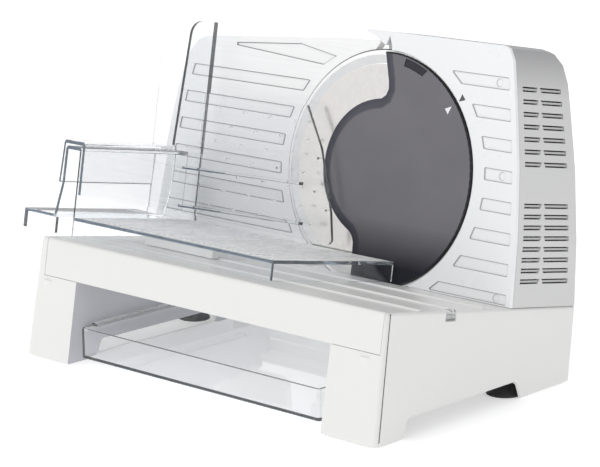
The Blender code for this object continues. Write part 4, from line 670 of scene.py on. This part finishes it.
def soften(piece, width, smoothing):
    """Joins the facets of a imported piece, rounds its sharp edges by width millimetres and shades it."""
    weld = piece.modifiers.new("weld", "WELD")
    weld.merge_threshold = WELD_REACH
    if piece.name not in KEPT_FACETS:
        flat = piece.modifiers.new("flat_faces", "DECIMATE")
        flat.decimate_type = "DISSOLVE"
        flat.angle_limit = FLAT_ANGLE
        piece.modifiers.new("triangles", "TRIANGULATE")
    edge = piece.modifiers.new("soft_edges", "BEVEL")
    edge.width = width * MM
    edge.segments = ROUND_STEPS
    edge.limit_method = "ANGLE"
    edge.angle_limit = SHARP_ANGLE
    shade = piece.modifiers.new("shading", "NODES")
    shade.node_group = smoothing
    level = piece.modifiers.new("level_flats", "WEIGHTED_NORMAL")
    level.keep_sharp = True


def finish_nodes(finishes):
    smoothing = smoothing_nodes()
    for name, piece in NODES.items():
        slot = piece.data.materials[0].name.split(".")[0]
        piece.material_slots[0].material = finishes[SLOT_FINISHES[slot]]
        soften(piece, EDGE_ROUND.get(name, USUAL_ROUND), smoothing)


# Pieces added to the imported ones

# Their sizes are in millimetres, counted from the blade's centre unless a comment says otherwise.
# How far a film's front and back stand before the face under it
FILM_FRONT = 0.06
FILM_BACK = 0.02
# How far a print's two sides stand behind the back that it is on
PRINT_START = 0.02
PRINT_END = 0.08


def add_piece(name, bm, body, finish):
    bmesh.ops.recalc_face_normals(bm, faces=bm.faces)
    mesh = bpy.data.meshes.new(name)
    bm.to_mesh(mesh)
    bm.free()
    mesh.materials.append(finish)
    piece = bpy.data.objects.new(name, mesh)
    bpy.context.scene.collection.objects.link(piece)
    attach(piece, body)
    return piece


def close_layers(bm, layers):
    """Closes a stack of rings with the same number of points into one solid."""
    rows = [[bm.verts.new(point) for point in layer] for layer in layers]
    count = len(rows[0])
    for low, high in zip(rows, rows[1:]):
        for index in range(count):
            after = (index + 1) % count
            bm.faces.new((low[index], low[after], high[after], high[index]))
    bm.faces.new(rows[0])
    bm.faces.new(rows[-1])


def flat_shape(bm, corners, depths):
    """A shape square to the deck, from its (across, up) corners, between two depths."""
    close_layers(bm, [[deck(across, into, up) for across, up in corners] for into in depths])


def add_mark(name, shapes, depths, body, finish):
    bm = bmesh.new()
    for corners in shapes:
        flat_shape(bm, corners, depths)
    return add_piece(name, bm, body, finish)


def oblong(left, right, low, high):
    return (left, low), (right, low), (right, high), (left, high)


def slanted(points, width):
    """A strip of that width to the right of a line of points."""
    return list(points) + [(x + width, z) for x, z in reversed(points)]


def tapered(left, left_reach, right, right_reach):
    """A strip between two (across, up) points that reaches that far down and up from each."""
    (left_x, left_up), (right_x, right_up) = left, right
    return (
        (left_x, left_up + left_reach[0]),
        (right_x, right_up + right_reach[0]),
        (right_x, right_up + right_reach[1]),
        (left_x, left_up + left_reach[1]),
    )


def film_before(face):
    """Front and back of a film just before a face."""
    return face - FILM_FRONT, face - FILM_BACK


def print_behind(back):
    """Front and back of a print just behind a part's back."""
    return back + PRINT_START, back + PRINT_END


def turned_band(bm, profile, angles, closed):
    """Sweeps a closed profile of (radius, into) pairs about the blade's axis.

    A radius may be a function of the angle, for a scalloped edge.
    """
    rows = []
    for angle in angles:
        row = []
        for radius, into in profile:
            reach = radius(angle) if callable(radius) else radius
            row.append(bm.verts.new(deck(reach * cos(angle), into, reach * sin(angle))))
        rows.append(row)
    pairs = list(zip(rows, rows[1:]))
    if closed:
        pairs.append((rows[-1], rows[0]))
    for first, second in pairs:
        for index in range(len(profile)):
            after = (index + 1) % len(profile)
            bm.faces.new((first[index], first[after], second[after], second[index]))
    if not closed:
        bm.faces.new(rows[0])
        bm.faces.new(rows[-1])


def add_band(name, profile, angles, closed, body, finish):
    bm = bmesh.new()
    turned_band(bm, profile, angles, closed)
    return add_piece(name, bm, body, finish)


def all_round(count):
    return [2 * pi * index / count for index in range(count)]


def spread_angles(first, last, count):
    return [radians(first + (last - first) * index / count) for index in range(count + 1)]


# The blade

# Radii, and how far into the machine its faces lie
BLADE_FACE = -0.4
BLADE_BACK = 1.0
BLADE_HOLE = 18.0
STEP_START = 76.6
STEP_END = 77.0
STEPPED_FACE = BLADE_FACE + 0.12
GROUND_FROM = 83.3
BLADE_RIM = 86.6
RIM_FACE = BLADE_FACE + 0.75
BLADE_FACETS = 240

# The waves ground into the rim, and the bright edge over them, a thin white shell that is a painted
# highlight of the ground bevel. It stands before the blade's step and its rim, outside the rim, and
# a gap off the blade with its inner side. Its outer corner lies less far before the rim, and it ends
# before the blade's back.
GROUND_WAVES = 120
WAVE_DEPTH = 0.8
EDGE_FACETS = 1440
EDGE_BEFORE_STEP = 0.05
EDGE_BEFORE_RIM = 0.07
EDGE_CORNER = 0.03
EDGE_OUTSIDE = 0.04
EDGE_GAP = 0.01
EDGE_TO_BACK = 0.05

# The shadow ring behind the blade's rim
RING_INNER = 80.0
RING_OUTER = 87.6
RING_GAP = 0.03
RING_BACK = 0.15


def scallop(angle):
    return GROUND_FROM + WAVE_DEPTH * abs(sin(angle * GROUND_WAVES))


def make_blade(finishes):
    """Ground blade: flat face, shallow step, and the wave-ground bevel at the rim with a painted
    highlight.
    """
    profile = (
        (BLADE_HOLE, BLADE_FACE),
        (STEP_START, BLADE_FACE),
        (STEP_END, STEPPED_FACE),
        (GROUND_FROM, STEPPED_FACE),
        (BLADE_RIM, RIM_FACE),
        (BLADE_RIM, BLADE_BACK),
        (BLADE_HOLE, BLADE_BACK),
    )
    turns = all_round(BLADE_FACETS)
    disc = add_band("blade_disc", profile, turns, True, "blade_unit", finishes["blade"])
    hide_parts("blade")
    outside = BLADE_RIM + EDGE_OUTSIDE
    inside = BLADE_RIM + EDGE_GAP
    end = BLADE_BACK - EDGE_TO_BACK
    bright = (
        (scallop, STEPPED_FACE - EDGE_BEFORE_STEP),
        (BLADE_RIM, RIM_FACE - EDGE_BEFORE_RIM),
        (outside, RIM_FACE - EDGE_CORNER),
        (outside, end),
        (inside, end),
        (inside, RIM_FACE - EDGE_GAP),
        (scallop, STEPPED_FACE - EDGE_GAP),
    )
    waves = all_round(EDGE_FACETS)
    # Painted highlight over the ground bevel
    edge = finishes["ground_edge"]
    add_band("blade_ground_edge", bright, waves, True, "blade_unit", edge)
    # Painted shadow ring behind the rim, in the seam's dark finish
    ring = oblong(RING_INNER, RING_OUTER, BLADE_BACK + RING_GAP, BLADE_BACK + RING_BACK)
    add_band("blade_back_ring", ring, turns, True, "blade_unit", finishes["seam"])


# The cover's trim

# Cross-sections as (radius, into) points, with their first and last turn in degrees and the
# number of steps between, and pointers as (across, up) points with their front and back
COVER_RIM = (
    (84.55, -3.13), (85.66, -1.5), (85.66, -0.85),
    (85.62, -0.85), (85.62, -1.48), (84.55, -3.07),
)
COVER_RIM_TURN = (92.8, -99.5, 96)
COVER_SLOT_FLOOR = oblong(78.3, 83.4, -2.72, -1.72)
COVER_SLOT_TURN = (65.2, 79.2, 12)
COVER_POINTER = ((55.6, 51.0), (61.3, 53.3), (58.6, 47.4))
COVER_PRINT = (COVER_FACE - 0.06, COVER_FACE + 0.02)
PLATE_POINTER = ((68.8, 62.9), (72.1, 59.0), (66.5, 57.3))
PLATE_PRINT = (-2.27, -2.18)


def make_cover_trim(finishes):
    """Painted shade on the cover's rim and slot floor, its white pointer, and the plate's pointer."""
    turns = spread_angles(*COVER_RIM_TURN)
    # Painted shade on the cover's rim side
    black = finishes["rim_black"]
    add_band("cover_rim_band", COVER_RIM, turns, False, "cover", black)
    turns = spread_angles(*COVER_SLOT_TURN)
    # Painted shade on the floor of the cover's slot
    dark = finishes["slot_dark"]
    add_band("cover_slot_floor", COVER_SLOT_FLOOR, turns, False, "cover", dark)
    white, grey = finishes["print_white"], finishes["print_grey"]
    add_mark("cover_pointer", [COVER_POINTER], COVER_PRINT, "cover", white)
    add_mark("plate_pointer", [PLATE_POINTER], PLATE_PRINT, "base", grey)


# Cut edges of the clear parts, painted blue-grey

# The front ends of the carriage, the food holder and its ledges, and on them the edges painted
# blue-grey as (across, up) points
CARRIAGE_END = -119.0
HOLDER_END = -119.31
LEDGE_END = -16.3
TABLE_TOP = -62.6
TABLE_SPAN = (TABLE_TOP - 1.7, TABLE_TOP - 0.2)
APRON_SPAN = (-76.4, TABLE_TOP - 1.9)
FLANGE_EDGE = oblong(-240.3, -208.4, *TABLE_SPAN)
TABLE_EDGE = oblong(-185.3, 14.4, *TABLE_SPAN)
LEFT_APRON_EDGE = oblong(-240.3, -238.6, *APRON_SPAN)
RIGHT_APRON_EDGE = oblong(13.6, 14.6, *APRON_SPAN)
WALL_WIDTH = 1.9
WALL_EDGE = slanted(((-207.6, TABLE_TOP), (-202.4, -38.3), (-202.1, -12.6)), WALL_WIDTH)
WALL_TOP_EDGE = ((-202.0, -12.9), (-200.4, -10.6), (-187.2, -10.6), (-185.6, -12.9))
SADDLE_TOP = -6.6
UNDER_SADDLE = SADDLE_TOP - 2.4
SADDLE_EDGE = (
    (-203.9, SADDLE_TOP - 2.3),
    (-181.8, SADDLE_TOP - 2.3),
    (-181.8, SADDLE_TOP - 1.6),
    (-183.2, SADDLE_TOP - 0.2),
    (-202.6, SADDLE_TOP - 0.2),
    (-203.9, SADDLE_TOP - 1.6),
)
INNER_LEG_EDGE = oblong(-183.8, -181.7, -45.1, UNDER_SADDLE)
OUTER_LEG_WIDTH = 0.9
OUTER_LEG_EDGE = slanted(((-205.8, -37.4), (-204.0, UNDER_SADDLE)), OUTER_LEG_WIDTH)

# The ledges' height at their left end, then the height and the place of their right end
LEDGES = ((-22.3, -18.3, -61.5), (-51.7, -47.3, -57.5))
LEDGE_LEFT = -181.6
LEDGE_TURN = -136.0
# A ledge's edge is a beam as far as the turn and then a thin line. Their ends reach that far
# down and up from the ledge's height.
BEAM_LEFT = (-0.95, 0.3)
BEAM_RIGHT = (-0.75, 0.2)
LINE_LEFT = (-0.75, -0.3)
LINE_RIGHT = (-0.7, -0.5)


def ledge_edges(left_up, right_up, right):
    """The beam and the line of a ledge's edge."""
    turn_up = left_up + (right_up - left_up) * (LEDGE_TURN - LEDGE_LEFT) / (right - LEDGE_LEFT)
    turn = (LEDGE_TURN, turn_up)
    beam = tapered((LEDGE_LEFT, left_up), BEAM_LEFT, turn, BEAM_RIGHT)
    line = tapered(turn, LINE_LEFT, (right, right_up), LINE_RIGHT)
    return beam, line


def make_clear_edges(finishes):
    """Cut edges of the carriage and the food holder, painted blue-grey on their front ends."""
    painted_edge = finishes["edge"]
    on_carriage = film_before(CARRIAGE_END)
    edges = [FLANGE_EDGE, TABLE_EDGE, LEFT_APRON_EDGE, RIGHT_APRON_EDGE, WALL_EDGE]
    add_mark("carriage_front_edges", edges, on_carriage, "carriage_body", painted_edge)
    top = [WALL_TOP_EDGE]
    add_mark("wall_front_edge", top, on_carriage, "carriage_body", painted_edge)
    on_holder = film_before(HOLDER_END)
    edges = [SADDLE_EDGE, INNER_LEG_EDGE, OUTER_LEG_EDGE]
    add_mark("holder_front_edges", edges, on_holder, "holder", painted_edge)
    on_ledges = film_before(LEDGE_END)
    edges = [stretch for ledge in LEDGES for stretch in ledge_edges(*ledge)]
    add_mark("holder_ledge_edges", edges, on_ledges, "holder", painted_edge)


# The base's front right corner

# Its foot and its top from the frame's own origin, and the seam's outline about them, outwards and
# along the side
CORNER_ENDS = ((187.72, -115.1, 4.0), (184.62, -100.7, 87.6))
SEAM_OUTLINE = oblong(-0.06, 0.04, 0.0, 0.9)


def make_corner_seam(finishes):
    """Seam along the base's front right corner, between its front and its side."""
    bm = bmesh.new()
    rows = [
        [Vector((x + out, y + along, z)) * MM for out, along in SEAM_OUTLINE]
        for x, y, z in CORNER_ENDS
    ]
    close_layers(bm, rows)
    add_piece("right_corner_seam", bm, "base", finishes["seam"])


# The housing's side vents

# The upright plate's right edge, as (across, up) points
PLATE_RIGHT_EDGE = (
    (100.8, 100.0), (104.6, 98.5), (109.2, 90.6), (115.0, 63.7),
    (123.8, 16.5), (129.3, -31.3), (131.8, -78.0),
)
# The housing's back as (depth, height) points, counted from the deck's front and its surface like
# the blade's centre and the vents. These end before the back.
HOUSING_BACK = ((208.5, 0.3), (205.0, 40.5), (201.5, 81.0), (199.0, 114.0), (195.0, 156.0))
BLADE_DEPTH = 134.0
BLADE_HEIGHT = 78.3
VENT_START = 141.2
VENT_BEFORE_BACK = 9.7
# The highest vent's middle, the pitch and the number of vents of each group
VENT_ROWS = ((150.0, 8.5, 7), (70.5, 7.45, 8))
# A vane's faces inside the plate's edge, and its reach below and above its vent's middle
VANE_OUTER = 0.7
VANE_INNER = 2.2
VANE_BELOW = 0.75
VANE_ABOVE = 0.65


def at_height(line, height):
    """Where a line of (place, height) points passes a height, or its end's place beyond its ends."""
    rows = sorted(line, key=lambda point: point[1])
    for low, high in zip(rows, rows[1:]):
        if low[1] <= height <= high[1]:
            share = (height - low[1]) / (high[1] - low[1])
            return low[0] + (high[0] - low[0]) * share
    return rows[-1][0] if height > rows[-1][1] else rows[0][0]


def make_vent_vanes(finishes):
    """Grey vanes set into the housing's side vents, behind its face."""
    bm = bmesh.new()
    for top, pitch, count in VENT_ROWS:
        for index in range(count):
            middle = top - index * pitch
            height = middle - BLADE_HEIGHT
            wall = at_height(PLATE_RIGHT_EDGE, height)
            start = VENT_START - BLADE_DEPTH
            end = at_height(HOUSING_BACK, middle) - VENT_BEFORE_BACK - BLADE_DEPTH
            low, high = height - VANE_BELOW, height + VANE_ABOVE
            flat_shape(bm, oblong(wall - VANE_INNER, wall - VANE_OUTER, low, high), (start, end))
    add_piece("vent_vanes", bm, "base", finishes["vane"])


# The stop plate's pockets

# Their right-hand ends lie on a circle whose middle is shifted to the right, in rows counted in
# pitches over the blade's centre. A grey line of painted shade on each reaches from left to right
# of its end.
STOP_FACE = 1.3
POCKET_CIRCLE = 96.6
POCKET_SHIFT = 1.3
POCKET_PITCH = 21.18
POCKET_WIDTH = 8.94
POCKET_ROWS = (2.5, 1.5, 0.5, -0.5, -1.5, -2.5)
POCKET_INSET = 0.5
END_LEFT = -0.9
END_RIGHT = 0.3
END_DEPTHS = (STOP_FACE - 0.05, STOP_FACE - 0.01)


def make_pocket_ends(finishes):
    """Painted shade on the right-hand ends of the stop plate's pockets."""
    shapes = []
    for row in POCKET_ROWS:
        middle = row * POCKET_PITCH
        half = POCKET_WIDTH / 2 - POCKET_INSET
        low, high = middle - half, middle + half
        foot = POCKET_SHIFT - (POCKET_CIRCLE**2 - low**2) ** 0.5
        head = POCKET_SHIFT - (POCKET_CIRCLE**2 - high**2) ** 0.5
        line = ((foot + END_LEFT, low), (head + END_LEFT, high))
        shapes.append(slanted(line, END_RIGHT - END_LEFT))
    add_mark("pocket_ends", shapes, END_DEPTHS, "stop", finishes["pocket_shade_line"])


# The frosting on the carriage's table

# Its corners as (across, into) points, and the heights of its underside and its top
FROST_CORNERS = ((-184.5, -117.8), (13.2, -117.8), (25.4, -5.6), (-184.5, -5.6))
FROST_HEIGHTS = (-62.47, -62.43)


def make_table_texture(finishes):
    """Frosted texture just above the carriage's clear table, between its fine ribs."""
    bm = bmesh.new()
    layers = [[deck(across, into, up) for across, into in FROST_CORNERS] for up in FROST_HEIGHTS]
    close_layers(bm, layers)
    add_piece("table_texture", bm, "carriage_body", finishes["frosting"])


# The thickness knob and its dial

# The knob's middle as (across, up), and the backs of the knob and of its bracket. A bar has a near
# end, a far end and half a width, and points away from the middle at so many degrees.
KNOB_PLACE = (-159.0, -36.3)
KNOB_BACK = 66.9
BRACKET_BACK = 48.6
POINTER_BAR = (3.0, 13.0, 0.6)
POINTER_TURN = 90
DIAL_BAR = (19.6, 22.6, 0.4)
DIAL_TURNS = (*range(-50, 36, 17), *range(145, 231, 17))


def bar_about(place, degrees_round, near, far, half):
    """A short bar that points away from a place, between two distances from it."""
    turn = radians(degrees_round)
    return [
        (place[0] + r * cos(turn) - t * sin(turn), place[1] + r * sin(turn) + t * cos(turn))
        for r, t in oblong(near, far, -half, half)
    ]


def make_dial(finishes):
    """Pointer on the thickness knob and the marks beside it on the bracket."""
    white, grey = finishes["print_white"], finishes["print_grey"]
    pointer = [bar_about(KNOB_PLACE, POINTER_TURN, *POINTER_BAR)]
    add_mark("knob_pointer", pointer, print_behind(KNOB_BACK), "knob", white)
    marks = [bar_about(KNOB_PLACE, turn, *DIAL_BAR) for turn in DIAL_TURNS]
    add_mark("dial_marks", marks, print_behind(BRACKET_BACK), "base", grey)


make_camera()
make_world()
make_floor()
for softbox in SOFTBOXES:
    make_softbox(*softbox)
bpy.context.scene.view_settings.view_transform = "Standard"

FINISHES = make_materials()
finish_nodes(FINISHES)
make_blade(FINISHES)
make_cover_trim(FINISHES)
make_clear_edges(FINISHES)
make_corner_seam(FINISHES)
make_vent_vanes(FINISHES)
make_pocket_ends(FINISHES)
make_table_texture(FINISHES)
make_dial(FINISHES)
